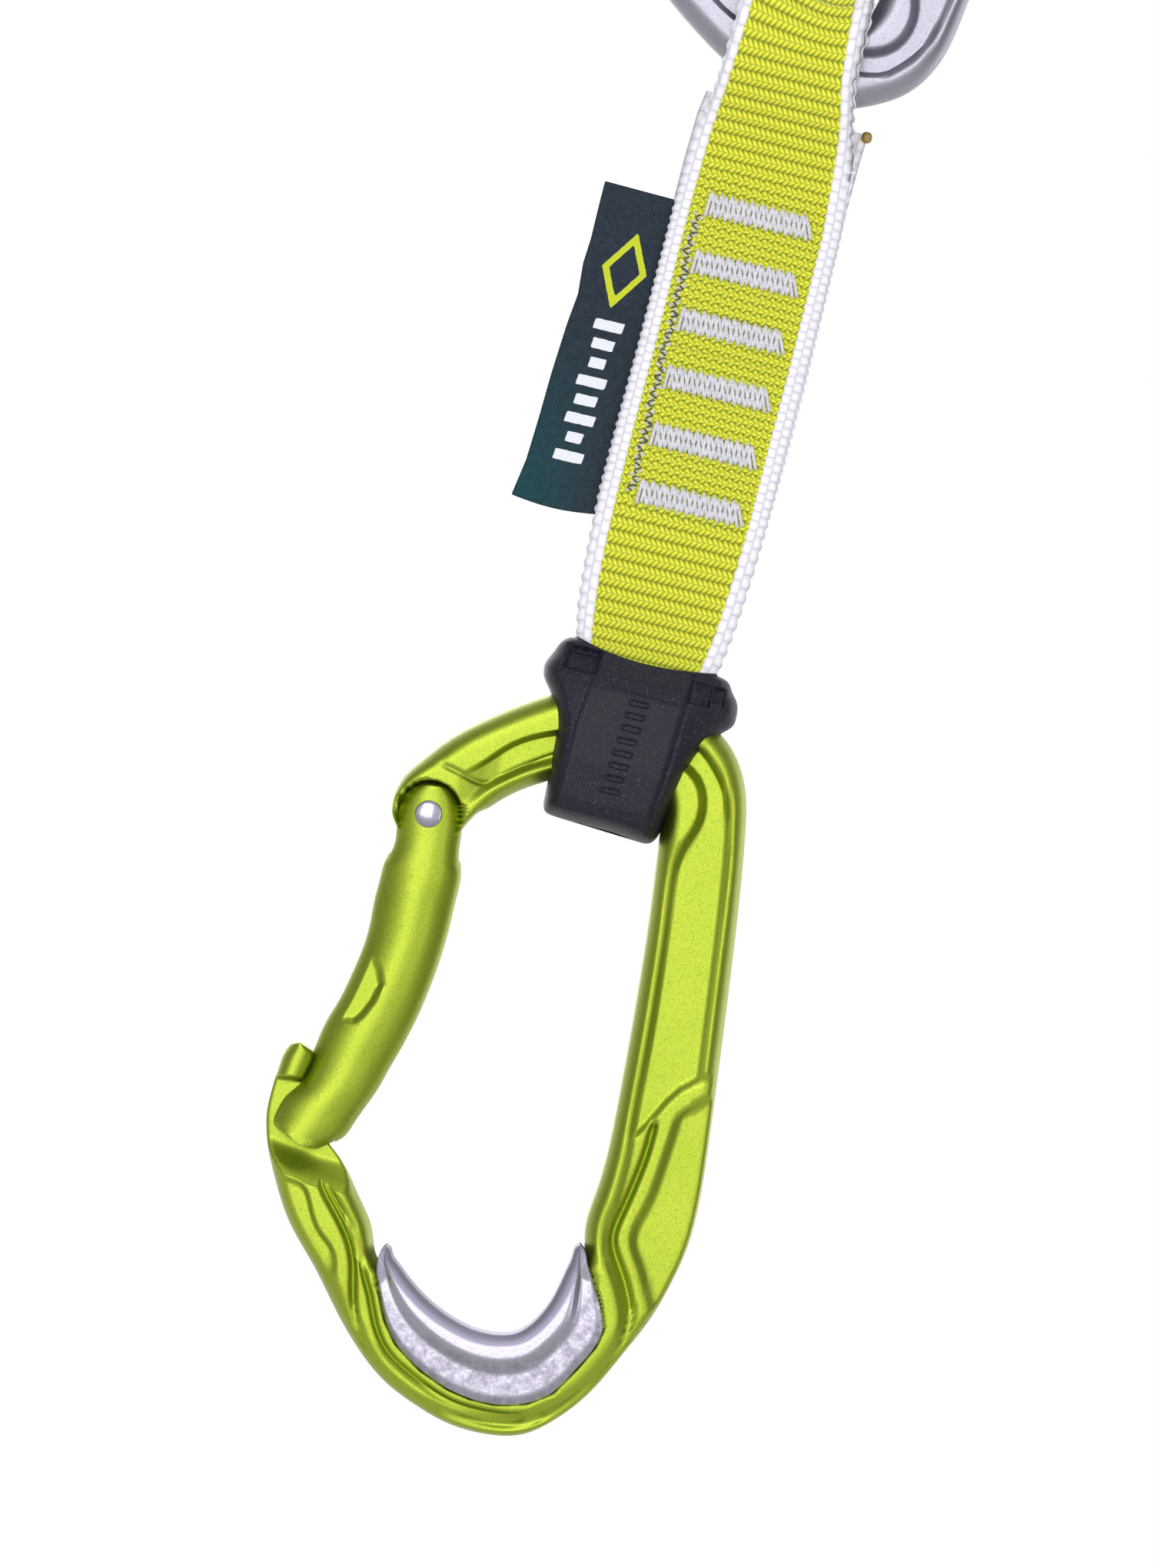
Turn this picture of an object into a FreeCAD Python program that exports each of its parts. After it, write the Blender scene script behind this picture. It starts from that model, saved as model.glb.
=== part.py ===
import FreeCAD, Part
import math
import os

V = FreeCAD.Vector
doc = FreeCAD.newDocument("quickdraw")

# Driving sizes in millimetres and degrees. The origin is the spot on the upper carabiner's
# steel basket where the bolt hanger bears. +Z is up along the hanging sling, +X points to the
# carabiners' spines and away from their gates, Y is the thickness.
SIZES = {
    # places of the parts along the draw, measured from the bolt contact
    "bolt_rivet_x": -21.39, "bolt_rivet_z": -66.7, "bolt_lean": -5.05,
    "rope_rivet_x": -23.92, "rope_rivet_z": -194.07, "rope_lean": 6.5,
    # carabiner frame
    "frame_depth": 10.5, "frame_round": 2.6, "tongue_depth": 3.6, "neck_depth": 3.6, "head_depth": 8.8,
    "hub_radius": 4.65, "spine_relief": 1.3, "step_radius": 49.6, "bar_corner": 6.0,
    # gate
    "gate_depth": 9.6, "gate_round": 0.8, "gate_hub_radius": 4.35, "fork_gap": 3.9, "fork_reach": 5.9,
    "nose_slot_gap": 4.2, "bore_radius": 1.8, "bore_length": 19.5, "gate_axis_lean": 6.9,
    # rivet, plunger and spring
    "rivet_radius": 1.5, "rivet_head_radius": 1.85, "rivet_length": 9.9, "rivet_head": 0.35,
    "running_gap": 0.05, "plunger_radius": 1.72, "plunger_reach": 4.35, "plunger_length": 8.2,
    "spring_wire": 0.25, "spring_coil": 1.3, "spring_pitch": 1.35, "spring_length": 11.0,
    # steel wear insert
    "insert_depth": 11.1, "insert_skin": 1.25, "insert_fit": 0.06, "insert_round": 0.9,
    # sling
    "tape_depth": 2.0, "tape_width_left": 8.7, "tape_width_right": 9.1, "loop_gap": 0.35,
    "loop_inner": 5.7, "loop_outer": 19.8, "loop_spread": 120.0, "full_turn": 360.0, "sling_depth": 4.4,
    "sling_end_round": 2.15, "upper_flex_z": -97.0, "lower_flex_z": -163.1,
    "tack_width": 14.9, "tack_height": 3.0, "tack_depth": 5.2, "tack_left": -6.9, "tack_first_z": -105.3,
    "tack_step": 7.96, "stitch_x": -7.6, "stitch_width": 1.0, "stitch_height": 38.6, "stitch_depth": 5.0,
    "label_depth": 1.0,
    # keeper
    "keeper_depth": 19.0, "keeper_left": 8.3, "keeper_right": 6.9, "keeper_gap": 0.25, "channel_depth": 11.1,
}

sheet = doc.addObject("Spreadsheet::Sheet", "sizes")
for row, (alias, number) in enumerate(SIZES.items(), start=1):
    sheet.set(f"A{row}", alias)
    sheet.set(f"B{row}", str(number))
    sheet.setAlias(f"B{row}", alias)
doc.recompute()

FRONT, SIDE, TOP = "XZ_Plane", "YZ_Plane", "XY_Plane"
DOWN = V(0, -1, 0)
nodes = []


def size(alias):
    """The number a sheet cell holds."""
    return float(sheet.get(alias))


def line(start, end):
    return [Part.LineSegment(V(*start, 0), V(*end, 0))]


def polyline(*corners):
    """Straight edges through the corners, in order."""
    return [edge for a, b in zip(corners, corners[1:]) for edge in line(a, b)]


def arc(start, middle, end):
    return [Part.Arc(V(*start, 0), V(*middle, 0), V(*end, 0))]


def curve(*points):
    """One smooth curve through the points."""
    spline = Part.BSplineCurve()
    spline.interpolate([V(*p, 0) for p in points])
    return [spline]


def polar(radius, degrees, centre=(0.0, 0.0)):
    """The point at a radius and a turn from straight down, counter-clockwise."""
    turn = math.radians(degrees)
    return (centre[0] + radius * math.sin(turn), centre[1] - radius * math.cos(turn))


def shifted(points, distance):
    """The points moved to the left of the path through them by a distance."""
    moved = []
    for here, before, after in zip(points, points[:1] + points[:-1], points[1:] + points[-1:]):
        along = V(after[0] - before[0], after[1] - before[1], 0).normalize()
        moved.append((here[0] - along.y * distance, here[1] + along.x * distance))
    return moved


def new_body(name):
    body = doc.addObject("PartDesign::Body", name)
    body.Label = name
    return body


def sketch(body, name, plane, edges, offset=None):
    """A sketch on one of the body's own origin planes, moved along it by an offset placement."""
    drawn = body.newObject("Sketcher::SketchObject", name)
    base = [f for f in body.Origin.OriginFeatures if f.Role == plane][0]
    drawn.AttachmentSupport = [(base, "")]
    drawn.MapMode = "FlatFace"
    if offset is not None:
        drawn.AttachmentOffset = offset
    for edge in edges:
        drawn.addGeometry(edge, False)
    return drawn


def pad(body, name, plane, edges, depth):
    """Material either side of the plane, by a depth that is an expression on the sheet."""
    feature = body.newObject("PartDesign::Pad", name)
    feature.Profile = sketch(body, name + "_outline", plane, edges)
    feature.SideType = "Symmetric"
    feature.setExpression("Length", depth)
    doc.recompute()
    return feature


def cut(body, name, plane, edges, depth, offset=None, both=True, flipped=False):
    """Material taken away; the volume has to fall, or the cut points the wrong way."""
    before = body.Shape.Volume
    feature = body.newObject("PartDesign::Pocket", name)
    feature.Profile = sketch(body, name + "_outline", plane, edges, offset)
    feature.SideType = "Symmetric" if both else "One side"
    feature.Reversed = flipped
    feature.setExpression("Length", depth)
    doc.recompute()
    if not feature.Shape.Volume < before - 0.01:
        raise ValueError(name + " cuts nothing")
    return feature


def cut_faces(body, name, edges, half_depth, depth):
    """The same recess in the front and the back face."""
    for side, flipped in ((1, False), (-1, True)):
        away = FreeCAD.Placement(V(0, 0, side * half_depth), FreeCAD.Rotation())
        cut(body, f"{name}_{'front' if side > 0 else 'back'}", FRONT, edges, depth, away, False, flipped)


def round_edges(body, name, base, chosen, radius):
    """A fillet on the flat outline edges whose middle the test accepts."""
    flat = []
    for number, edge in enumerate(base.Shape.Edges, start=1):
        box = edge.BoundBox
        middle = edge.valueAt((edge.FirstParameter + edge.LastParameter) / 2)
        if box.YLength < 1e-6 and chosen(middle.x, middle.z, edge):
            flat.append(f"Edge{number}")
    feature = body.newObject("PartDesign::Fillet", name)
    feature.Base = (base, flat)
    feature.setExpression("Radius", radius)
    doc.recompute()
    return feature


def turn_solid(body, name, plane, edges, axis, degrees="sizes.full_turn"):
    """Material turned about an axis of the sketch, by an angle that is an expression on the sheet."""
    feature = body.newObject("PartDesign::Revolution", name)
    drawn = sketch(body, name + "_profile", plane, edges)
    feature.Profile = drawn
    feature.ReferenceAxis = (drawn, [axis])
    feature.Midplane = True
    feature.setExpression("Angle", degrees)
    doc.recompute()
    return feature


def keep(node, placement):
    """Puts a finished sub-part in its place and lists it for export."""
    node.Placement = placement
    nodes.append(node)
    return node


def placed(x, z, lean, flipped=False):
    """A carabiner's place: its rivet, its lean about Y, and whether it hangs upside down."""
    place = FreeCAD.Placement(V(x, 0, z), FreeCAD.Rotation(DOWN, lean))
    if flipped:
        place = place * FreeCAD.Placement(V(0, 0, 0), FreeCAD.Rotation(V(1, 0, 0), 180))
    return place


# ---- Carabiner, drawn round its gate rivet with the spine on +X and the sling end on +Z -------
# Both carabiners have one forged aluminium frame: an open ring with a hinge tongue at one end of
# the gap and a keyhole nose, a thin neck with a thick head, at the other.
CORNER = (25.3, 3.5)          # centre of the sling end's inner corner
ROPE_EDGE = [(1.5, -58.6), (4, -61.6), (8, -65.2), (12, -67.4), (16.5, -68.5), (19.4, -68.2),
             (22, -66.6), (24.5, -63), (26, -58.5), (27.2, -55.4)]
SEAT_EDGE = [(0.1, -59.8), (3.1, -62.9), (7.3, -66.5), (11.7, -68.8), (16.6, -69.9), (20, -69.5),
             (23.1, -67.5), (25.8, -63.5), (27.4, -58.9), (28.3, -55.9)]


def seat_outline(grown):
    """The steel insert's outer boundary from its left tip round to its right tip."""
    return curve((1.5 - grown, -58.6 + grown), (0.5 - grown, -61), (2.5 - grown, -68.5), (8, -74.3 - grown),
                 (18.5, -77.8 - grown), (26 + grown, -75.5 - grown), (29.6 + grown, -71),
                         (31.6 + grown, -66.2)) \
        + curve((31.6 + grown, -66.2), (29.5 + grown, -59.5), (27.2 + grown, -55.4 + grown))


def frame_body(name):
    body = new_body(name)
    hub, step = size("hub_radius"), size("step_radius")
    corner = size("bar_corner")
    hub_left, hub_right = polar(hub, -82), polar(hub, 100)
    nose_out, nose_mid, nose_in = polar(step, -19.1), polar(step, -12.5), polar(step, -5.8)
    corner_points = [polar(corner, turn, CORNER) for turn in (95, 125, 155, 185, 202)]
    ring = curve(hub_left, (-5.15, 1.5), (-4.2, 4.3), (-2, 7), (2, 10.8), (7, 14.2), (14, 17.9), (20, 19.9),
                 (26, 20.4), (32, 18.9), (38.8, 14.5), (42.1, 8), (43, -5), (43.1, -25), (42.6, -50),
                         (40.5, -58),
                 (35, -69), (27, -79), (18.5, -82.2), (8, -79.5), (-1, -72.5), (-8, -62.5), (-15,
                         -50.5), nose_out)
    ring += arc(nose_out, nose_mid, nose_in)
    ring += curve(nose_in, (-3, -52.5), (-0.8, -56), *SEAT_EDGE, (28.3, -51), (29.2, -44), (30, -35),
            (30.8, -20),
                  (31.2, -8), *corner_points, (15.2, 6.3), (10, 3.4), (7.4, 1.4), (6.5, 0.9))
    ring += line((6.5, 0.9), hub_right)
    ring += arc(hub_right, (0, hub), hub_left)
    base = pad(body, name + "_ring", FRONT, ring, "sizes.frame_depth")

    def along_the_ring(x, z, edge):
        return edge.Length > 9 and math.hypot(x, z) > hub + 1 and abs(math.hypot(x, z) - step) > 0.6
    round_edges(body, name + "_rounding", base, along_the_ring, "sizes.frame_round")

    half = size("frame_depth") / 2
    seat = seat_outline(0.15) + line((27.35, -55.25), (24, -58)) + line((24, -58), (4, -58)) \
        + line((4, -58), (1.35, -58.45))
    cut_faces(body, name + "_seat", seat, half, "(sizes.frame_depth - sizes.insert_depth) / 2"
              " + sizes.insert_skin + sizes.insert_fit")
    panel = curve((36.8, 11.2), (35.3, 8.8), (36.3, 4.6), (34.4, -0.3), (33.5, -3), (33.2, -20), (32.7,
            -32)) \
        + polyline((32.7, -32), (36.3, -34.5), (40.9, -29.5), (40.9, -3.5)) \
        + curve((40.9, -3.5), (39.9, 6), (36.8, 11.2))
    cut_faces(body, name + "_panel", panel, half, "sizes.spine_relief")

    tongue = curve(polar(4.2, -80), polar(4.15, -40), polar(4.15, 0), polar(4.8, 35), polar(4.95, 60),
            polar(5, 85))
    tongue += polyline(polar(5, 85), (7.5, 1.5), (4, 7), (-3.2, 4.8), polar(4.2, -80))
    pad(body, name + "_tongue", FRONT, tongue, "sizes.tongue_depth")
    neck = curve((-16.2, -47.6), (-16.85, -42), (-16.3, -37.3))
    neck += polyline((-16.3, -37.3), (-13.4, -37.3), (-11.9, -42), (-7.3, -46.3), (-5.9, -47.9), (-6.6, -51),
                     (-14.2, -50.6), (-16.2, -47.6))
    pad(body, name + "_neck", FRONT, neck, "sizes.neck_depth")
    head = line((-16.3, -37.9), (-16.2, -36.4)) + curve((-16.2, -36.4), (-15.3, -33.7), (-14.2, -32.85),
                                                        (-12.9, -33.3), (-12.35, -34.6), (-12.9, -36.5))
    head += polyline((-12.9, -36.5), (-13.6, -37.9), (-16.3, -37.9))
    pad(body, name + "_head", FRONT, head, "sizes.head_depth")
    hole = [Part.Circle(V(0, 0, 0), V(0, 0, 1), size("rivet_radius"))]
    cut(body, name + "_rivet_hole", FRONT, hole, "sizes.frame_depth")
    return body


def gate_body(name, outer_edge, inner_edge):
    """A solid gate: a fork over the hinge tongue, a slot over the nose neck, and a spring bore."""
    body = new_body(name)
    hub = size("gate_hub_radius")
    left, right = polar(hub, -84), polar(hub, 84)
    outline = arc(right, polar(hub, 180), left)
    outline += line(left, (-4.3, -5)) + line((-4.3, -5), (-5.4, -6.4))
    outline += curve((-5.4, -6.4), *outer_edge, (-11.5, -33.2), (-12, -35.3), (-13.6, -38.5), (-15,
            -40.2), (-16, -43.3))
    outline += curve((-16, -43.3), (-15.2, -44.6), (-12.6, -45.9), (-10.3, -46.7), (-8.4, -46.3),
            (-6.2, -44.6),
                     (-5, -42.6), (-3.5, -39.6), *inner_edge, (5.1, -7))
    outline += line((5.1, -7), (4.6, -5)) + line((4.6, -5), right)
    base = pad(body, name + "_blank", FRONT, outline, "sizes.gate_depth")

    def long_sides(x, z, edge):
        return edge.Length > 18
    round_edges(body, name + "_rounding", base, long_sides, "sizes.gate_round")
    reach = size("fork_reach")
    fork = polyline((-7, -reach), (7, -reach), (7, 6), (-7, 6), (-7, -reach))
    cut(body, name + "_fork", FRONT, fork, "sizes.fork_gap")
    slot = polyline((-19, -37), (-12.7, -37), (-11.2, -42), (-6.6, -45.9), (-4, -49.5), (-19, -49.5),
            (-19, -37))
    cut(body, name + "_nose_slot", FRONT, slot, "sizes.nose_slot_gap")
    hole = [Part.Circle(V(0, 0, 0), V(0, 0, 1), size("rivet_radius") + size("running_gap"))]
    cut(body, name + "_rivet_hole", FRONT, hole, "2 * sizes.gate_depth")
    sunk = [Part.Circle(V(0, 0, 0), V(0, 0, 1), size("rivet_head_radius") + size("running_gap"))]
    cut_faces(body, name + "_countersink", sunk, size("gate_depth") / 2, "sizes.rivet_head")
    lean = FreeCAD.Rotation(V(0, 1, 0), size("gate_axis_lean"))
    mouth = FreeCAD.Placement(lean.multVec(V(0, 0, -size("fork_reach") + 1)), lean)
    bore = [Part.Circle(V(0, 0, 0), V(0, 0, 1), size("bore_radius"))]
    cut(body, name + "_bore", TOP, bore, "sizes.bore_length", mouth, False)
    return body


def rivet_body(name):
    """A steel rivet along Y with a flush head at each end."""
    body = new_body(name)
    half, head = size("rivet_length") / 2, size("rivet_head") + 0.1
    shank, rim = size("rivet_radius"), size("rivet_head_radius")
    half_section = polyline((0, -half), (rim - 0.25, -half), (rim, -half + 0.15), (rim, -half + head),
                            (shank, -half + head), (shank, half - head), (rim, half - head), (rim,
                                    half - 0.15),
                            (rim - 0.25, half), (0, half), (0, -half))
    turn_solid(body, name + "_turned", TOP, half_section, "V_Axis")
    return body


def plunger_body(name):
    """A round steel pin with a domed tip that rides on the hinge tongue."""
    body = new_body(name)
    tip, radius = -size("plunger_reach"), size("plunger_radius")
    foot = tip - size("plunger_length")
    half_section = arc((0, tip), (radius * math.sin(math.pi / 4), tip - radius * (1 - math.cos(math.pi / 4))),
                       (radius, tip - radius))
    half_section += polyline((radius, tip - radius), (radius, foot), (0, foot), (0, tip))
    turn_solid(body, name + "_turned", FRONT, half_section, "V_Axis")
    return body


def spring_node(name):
    """A steel coil spring behind the plunger."""
    helix = doc.addObject("Part::Helix", name + "_helix")
    helix.setExpression("Pitch", "sizes.spring_pitch")
    helix.setExpression("Height", "sizes.spring_length")
    helix.setExpression("Radius", "sizes.spring_coil - sizes.spring_wire")
    wire = doc.addObject("Part::Circle", name + "_wire")
    wire.setExpression("Radius", "sizes.spring_wire")
    start = V(size("spring_coil") - size("spring_wire"), 0, 0)
    wire.Placement = FreeCAD.Placement(start, FreeCAD.Rotation(V(1, 0, 0), 90))
    coil = doc.addObject("Part::Sweep", name)
    coil.Sections = [wire]
    coil.Spine = (helix, [])
    coil.Solid = True
    coil.Frenet = True
    coil.Label = name
    return coil


def insert_body(name):
    """The steel saddle pressed over the basket: a rope face and a flange down each side."""
    body = new_body(name)
    base = pad(body, name + "_saddle", FRONT, seat_outline(0.0) + curve(*ROPE_EDGE), "sizes.insert_depth")

    def rope_side(x, z, edge):
        return 8 < x < 22 and z > -70
    round_edges(body, name + "_roll", base, rope_side, "sizes.insert_round")
    seat = shifted(SEAT_EDGE, 2 * size("insert_fit"))
    channel = curve(*seat) + polyline(seat[-1], (33, -54), (33, -80), (-3, -80), (-3, -58), seat[0])
    cut(body, name + "_channel", FRONT, channel, "sizes.insert_depth - 2 * sizes.insert_skin")
    return body


BENT_GATE = ([(-5.9, -12), (-6.6, -18.5), (-7.6, -22), (-9, -26.3), (-10.3, -29.5)],
             [(-2, -37), (0, -32.2), (2.8, -24), (4.6, -15)])
STRAIGHT_GATE = ([(-6.4, -13.2), (-8.2, -20.2), (-9.9, -27)],
                 [(-1.6, -33), (0.6, -24.5), (2.9, -15.5)])
CARABINERS = (
    ("bolt", placed(size("bolt_rivet_x"), size("bolt_rivet_z"), size("bolt_lean"), True), STRAIGHT_GATE),
    ("rope", placed(size("rope_rivet_x"), size("rope_rivet_z"), size("rope_lean")), BENT_GATE),
)
for side, place, (outer_edge, inner_edge) in CARABINERS:
    along_gate = place * FreeCAD.Placement(V(0, 0, 0), FreeCAD.Rotation(V(0, 1, 0), size("gate_axis_lean")))
    keep(frame_body(side + "_carabiner_frame"), place)
    keep(gate_body(side + "_carabiner_gate", outer_edge, inner_edge), place)
    keep(rivet_body(side + "_gate_rivet"), place)
    keep(plunger_body(side + "_gate_plunger"), along_gate)
    spring_foot = size("plunger_reach") + size("plunger_length") + 0.3 + size("spring_length")
    keep(spring_node(side + "_gate_spring"), along_gate * FreeCAD.Placement(V(0, 0, -spring_foot),
            FreeCAD.Rotation()))
    keep(insert_body(side + "_wear_insert"), place)


# ---- Sling: one sewn loop of webbing -----------------------------------------------------------
# The loop round each carabiner's bar is turned about the centre of the bar's inner corner, so the
# tape is cupped in that corner and can slide along the bar.
def loop_profile():
    """The tape's outside in side view, from the corner's centre: over the bar, down, and together."""
    half = size("frame_depth") / 2 + size("loop_gap") + size("tape_depth")
    top = size("tape_depth") - size("loop_inner")
    end = -(size("loop_outer") + 2.3)
    shoulder = (3.6 + (half - 3.6) * math.sqrt(0.5), top - 4 + 4 * math.sqrt(0.5))
    outline = polyline((-3.6, top), (3.6, top)) + arc((3.6, top), shoulder, (half, top - 4))
    outline += polyline((half, top - 4), (half, -17.2), (3.6, end + 0.9))
    outline += arc((3.6, end + 0.9), (0, end), (-3.6, end + 0.9))
    outline += polyline((-3.6, end + 0.9), (-half, -17.2), (-half, top - 4))
    return outline + arc((-half, top - 4), (-shoulder[0], shoulder[1]), (-3.6, top))


def hole_profile():
    """The bar's room in side view, with the tape's thickness left round it."""
    half = size("frame_depth") / 2 + size("loop_gap")
    top, end = -size("loop_inner"), -size("loop_outer")
    return polyline((-3.6, top), (3.6, top), (half, top - 2), (half, -16.8), (3.2, end), (-3.2, end),
                    (-half, -16.8), (-half, top - 2), (-3.6, top))


def loop_node(name, left, right, place):
    """The tape round one bar, turned about the corner's centre and cut to the tape's width."""
    body = new_body(name)
    turn_solid(body, name + "_tape", SIDE, loop_profile() + hole_profile(), "H_Axis", "sizes.loop_spread")
    for label, sign, reach in (("left", -1, left), ("right", 1, right)):
        edges = polyline((sign * reach, -25), (sign * 30, -25), (sign * 30, 5), (sign * reach, 5),
                (sign * reach, -25))
        cut(body, f"{name}_{label}_edge", FRONT, edges, "4 * sizes.keeper_depth")
    return keep(body, place)


def world(place, x, z):
    """Where a point of a carabiner's own drawing lies."""
    return place.multVec(V(x, 0, z))


bolt_corner = world(CARABINERS[0][1], *CORNER)
rope_corner = world(CARABINERS[1][1], *CORNER)
upside_down = FreeCAD.Rotation(V(0, 1, 0), 180)
gap = size("keeper_gap")
loop_node("sling_upper_loop", bolt_corner.x + size("tape_width_left"),
        size("tape_width_right") - bolt_corner.x,
          FreeCAD.Placement(bolt_corner, FreeCAD.Rotation()))
loop_node("sling_lower_loop", size("keeper_right") - gap - rope_corner.x,
          rope_corner.x + size("keeper_left") - gap, FreeCAD.Placement(rope_corner, upside_down))


def sling_body(name):
    """The two layers that are sewn together, with a round end where the tape flexes at each loop."""
    body = new_body(name)
    top = size("upper_flex_z") + size("sling_end_round")
    bottom = size("lower_flex_z") - size("sling_end_round")
    outline = polyline((-10.7, top), (11.9, top), (12, -126), (11.5, -147), (9.8, bottom), (-10.3, bottom),
                       (-11.7, -150), (-11.2, -120), (-10.7, top))
    base = pad(body, name + "_layers", FRONT, outline, "sizes.sling_depth")

    def ends(x, z, edge):
        return abs(z - top) < 0.01 or abs(z - bottom) < 0.01
    round_edges(body, name + "_ends", base, ends, "sizes.sling_end_round")
    return body


def block_node(name, left, low, width, height, depth):
    """A band of thread right through the tape, as a box whose sizes are cells of the sheet."""
    block = doc.addObject("Part::Box", name)
    block.Label = name
    block.setExpression("Length", width)
    block.setExpression("Height", height)
    block.setExpression("Width", depth)
    doc.recompute()
    return keep(block, FreeCAD.Placement(V(left, -block.Width.Value / 2, low), FreeCAD.Rotation()))


keep(sling_body("sling_webbing"), FreeCAD.Placement())
for number in range(6):
    middle = size("tack_first_z") - number * size("tack_step")
    block_node(f"bar_tack_{number + 1}", size("tack_left"), middle - size("tack_height") / 2,
               "sizes.tack_width", "sizes.tack_height", "sizes.tack_depth")
stitch_low = size("tack_first_z") + size("tack_height") / 2 - size("stitch_height") - 3
block_node("label_stitching", size("stitch_x") - size("stitch_width") / 2, stitch_low,
           "sizes.stitch_width", "sizes.stitch_height", "sizes.stitch_depth")

label = new_body("label_flap")
flap = polyline((-20.7, -105.3), (-11.45, -105.7), (-11.55, -122), (-12, -149.4), (-20, -149.8),
        (-23.1, -149.3)) \
    + curve((-23.1, -149.3), (-22.2, -144.3), (-21.7, -132), (-20.8, -113), (-20.7, -105.3))
pad(label, "label_flap_ribbon", FRONT, flap, "sizes.label_depth")
keep(label, FreeCAD.Placement())


# ---- Keeper: a moulded rubber boot over the lower loop ------------------------------------------
def moved_edge(edge, across, up):
    """A copy of an edge, moved in its sketch plane."""
    moved = edge.copy()
    moved.translate(V(across, up, 0))
    return moved


def keeper_body(name, place):
    """The boot: an outline cut to a slope on each face, hollow inside, with a channel for the bar."""
    body = new_body(name)
    corner = world(place, *CORNER)
    lift = corner.z
    front = curve((8, 20.8), (0, 19.6), (-9.6, 20.7)) + polyline((-9.6, 20.7), (-12.6, 20.7), (-14.2, 17.4),
                                                                (-14.1, 15.6), (-12, 12.4)) \
        + curve((-12, 12.4), (-10.8, 9.4), (-10.3, 2.4), (-10, -1.6)) + arc((-10, -1.6), (-9.6, -2.4),
                (-8.8, -2.7)) \
        + curve((-8.8, -2.7), (-0.8, -3), (4.2, -3.5)) + arc((4.2, -3.5), (5.4, -3.1), (6, -2)) \
        + curve((6, -2), (6.6, 0.9), (8, 7.9), (9.7, 11.4)) \
        + polyline((9.7, 11.4), (12.4, 14.7), (12.4, 17.6), (10.6, 20.2), (8, 20.8))
    front = [moved_edge(edge, corner.x, lift) for edge in front]
    pad(body, name + "_boot", FRONT, front, "sizes.keeper_depth")
    slope = [(6.3, -3.8), (8.9, 0.4), (9.6, 5.4), (9.6, 15.6), (8.6, 18.8), (6.2, 21.6)]
    for sign in (-1, 1):
        edges = polyline(*[(sign * y, z) for y, z in slope], (sign * 12, 21.6), (sign * 12, -3.8),
                (sign * 6.3, -3.8))
        edges = [moved_edge(edge, 0, lift) for edge in edges]
        cut(body, f"{name}_{'front' if sign < 0 else 'back'}_slope", SIDE, edges, "3 * sizes.keeper_depth")
    inside = polyline((-6.2, 1.6), (6.2, 1.6), (7.75, 3.4), (7.75, 17.5), (4, 21.3), (4, 24), (-4, 24),
                      (-4, 21.3), (-7.75, 17.5), (-7.75, 3.4), (-6.2, 1.6))
    inside = [moved_edge(edge, 0, lift) for edge in inside]
    middle = (size("keeper_right") - size("keeper_left")) / 2
    offset = FreeCAD.Placement(V(0, 0, middle), FreeCAD.Rotation())
    cut(body, name + "_pocket", SIDE, inside, "sizes.keeper_left + sizes.keeper_right", offset)
    above = [(2, 11.4), (7, 14.8), (14, 18.4), (20, 20.3), (26, 20.8), (32, 19.3), (38.8, 15), (42.5, 8.2)]
    below = [polar(size("bar_corner") - 0.4, turn, CORNER) for turn in (90, 120, 150, 180, 202)]
    below = [(30.8, 0)] + below + [(15.2, 5.8), (10, 2.8)]
    flat = [(p.x, p.z) for p in (world(place, *q) for q in above)]
    floor = [(p.x, p.z) for p in (world(place, *q) for q in below)]
    channel = curve(*flat) + line(flat[-1], floor[0]) + curve(*floor) + line(floor[-1], flat[0])
    cut(body, name + "_bar_channel", FRONT, channel, "sizes.channel_depth")
    return body


keep(keeper_body("rubber_keeper", CARABINERS[1][1]), FreeCAD.Placement())

doc.recompute()
for item in doc.Objects:
    if "Invalid" in item.State or "Error" in item.State:
        raise ValueError(f"{item.Name} is {item.State}")
for node in nodes:
    if node.Shape.isNull() or not node.Shape.isValid() or not node.Shape.Solids:
        raise ValueError(node.Label + " has no valid solid")
os.makedirs("parts", exist_ok=True)
for node in nodes:
    node.Shape.exportStep(f"parts/{node.Label}.step")
    box = node.Shape.BoundBox
    print(f"{node.Label}: {len(node.Shape.Solids)} solid, {node.Shape.Volume:.0f} mm3,"
          f" {box.XLength:.1f} x {box.YLength:.1f} x {box.ZLength:.1f} mm")
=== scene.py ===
import math

import bmesh
import bpy
import numpy as np
from mathutils import Matrix, Vector


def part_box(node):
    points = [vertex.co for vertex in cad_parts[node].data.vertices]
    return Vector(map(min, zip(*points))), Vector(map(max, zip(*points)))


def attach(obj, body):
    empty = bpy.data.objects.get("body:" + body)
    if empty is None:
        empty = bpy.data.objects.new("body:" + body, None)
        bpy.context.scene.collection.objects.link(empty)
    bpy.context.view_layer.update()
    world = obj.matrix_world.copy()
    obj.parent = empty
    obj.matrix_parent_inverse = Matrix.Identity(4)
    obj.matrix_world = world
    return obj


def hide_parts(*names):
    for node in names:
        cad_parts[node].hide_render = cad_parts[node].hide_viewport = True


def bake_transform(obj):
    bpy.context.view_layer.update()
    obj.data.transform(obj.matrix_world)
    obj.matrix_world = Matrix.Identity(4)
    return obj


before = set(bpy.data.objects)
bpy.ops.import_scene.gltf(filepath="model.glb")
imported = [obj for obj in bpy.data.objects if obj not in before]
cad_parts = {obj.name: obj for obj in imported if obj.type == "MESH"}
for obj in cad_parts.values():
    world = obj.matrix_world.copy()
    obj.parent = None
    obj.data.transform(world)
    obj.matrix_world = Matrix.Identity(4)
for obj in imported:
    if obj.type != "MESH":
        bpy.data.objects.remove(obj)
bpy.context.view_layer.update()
scene = bpy.context.scene
MM = 0.001

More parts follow.
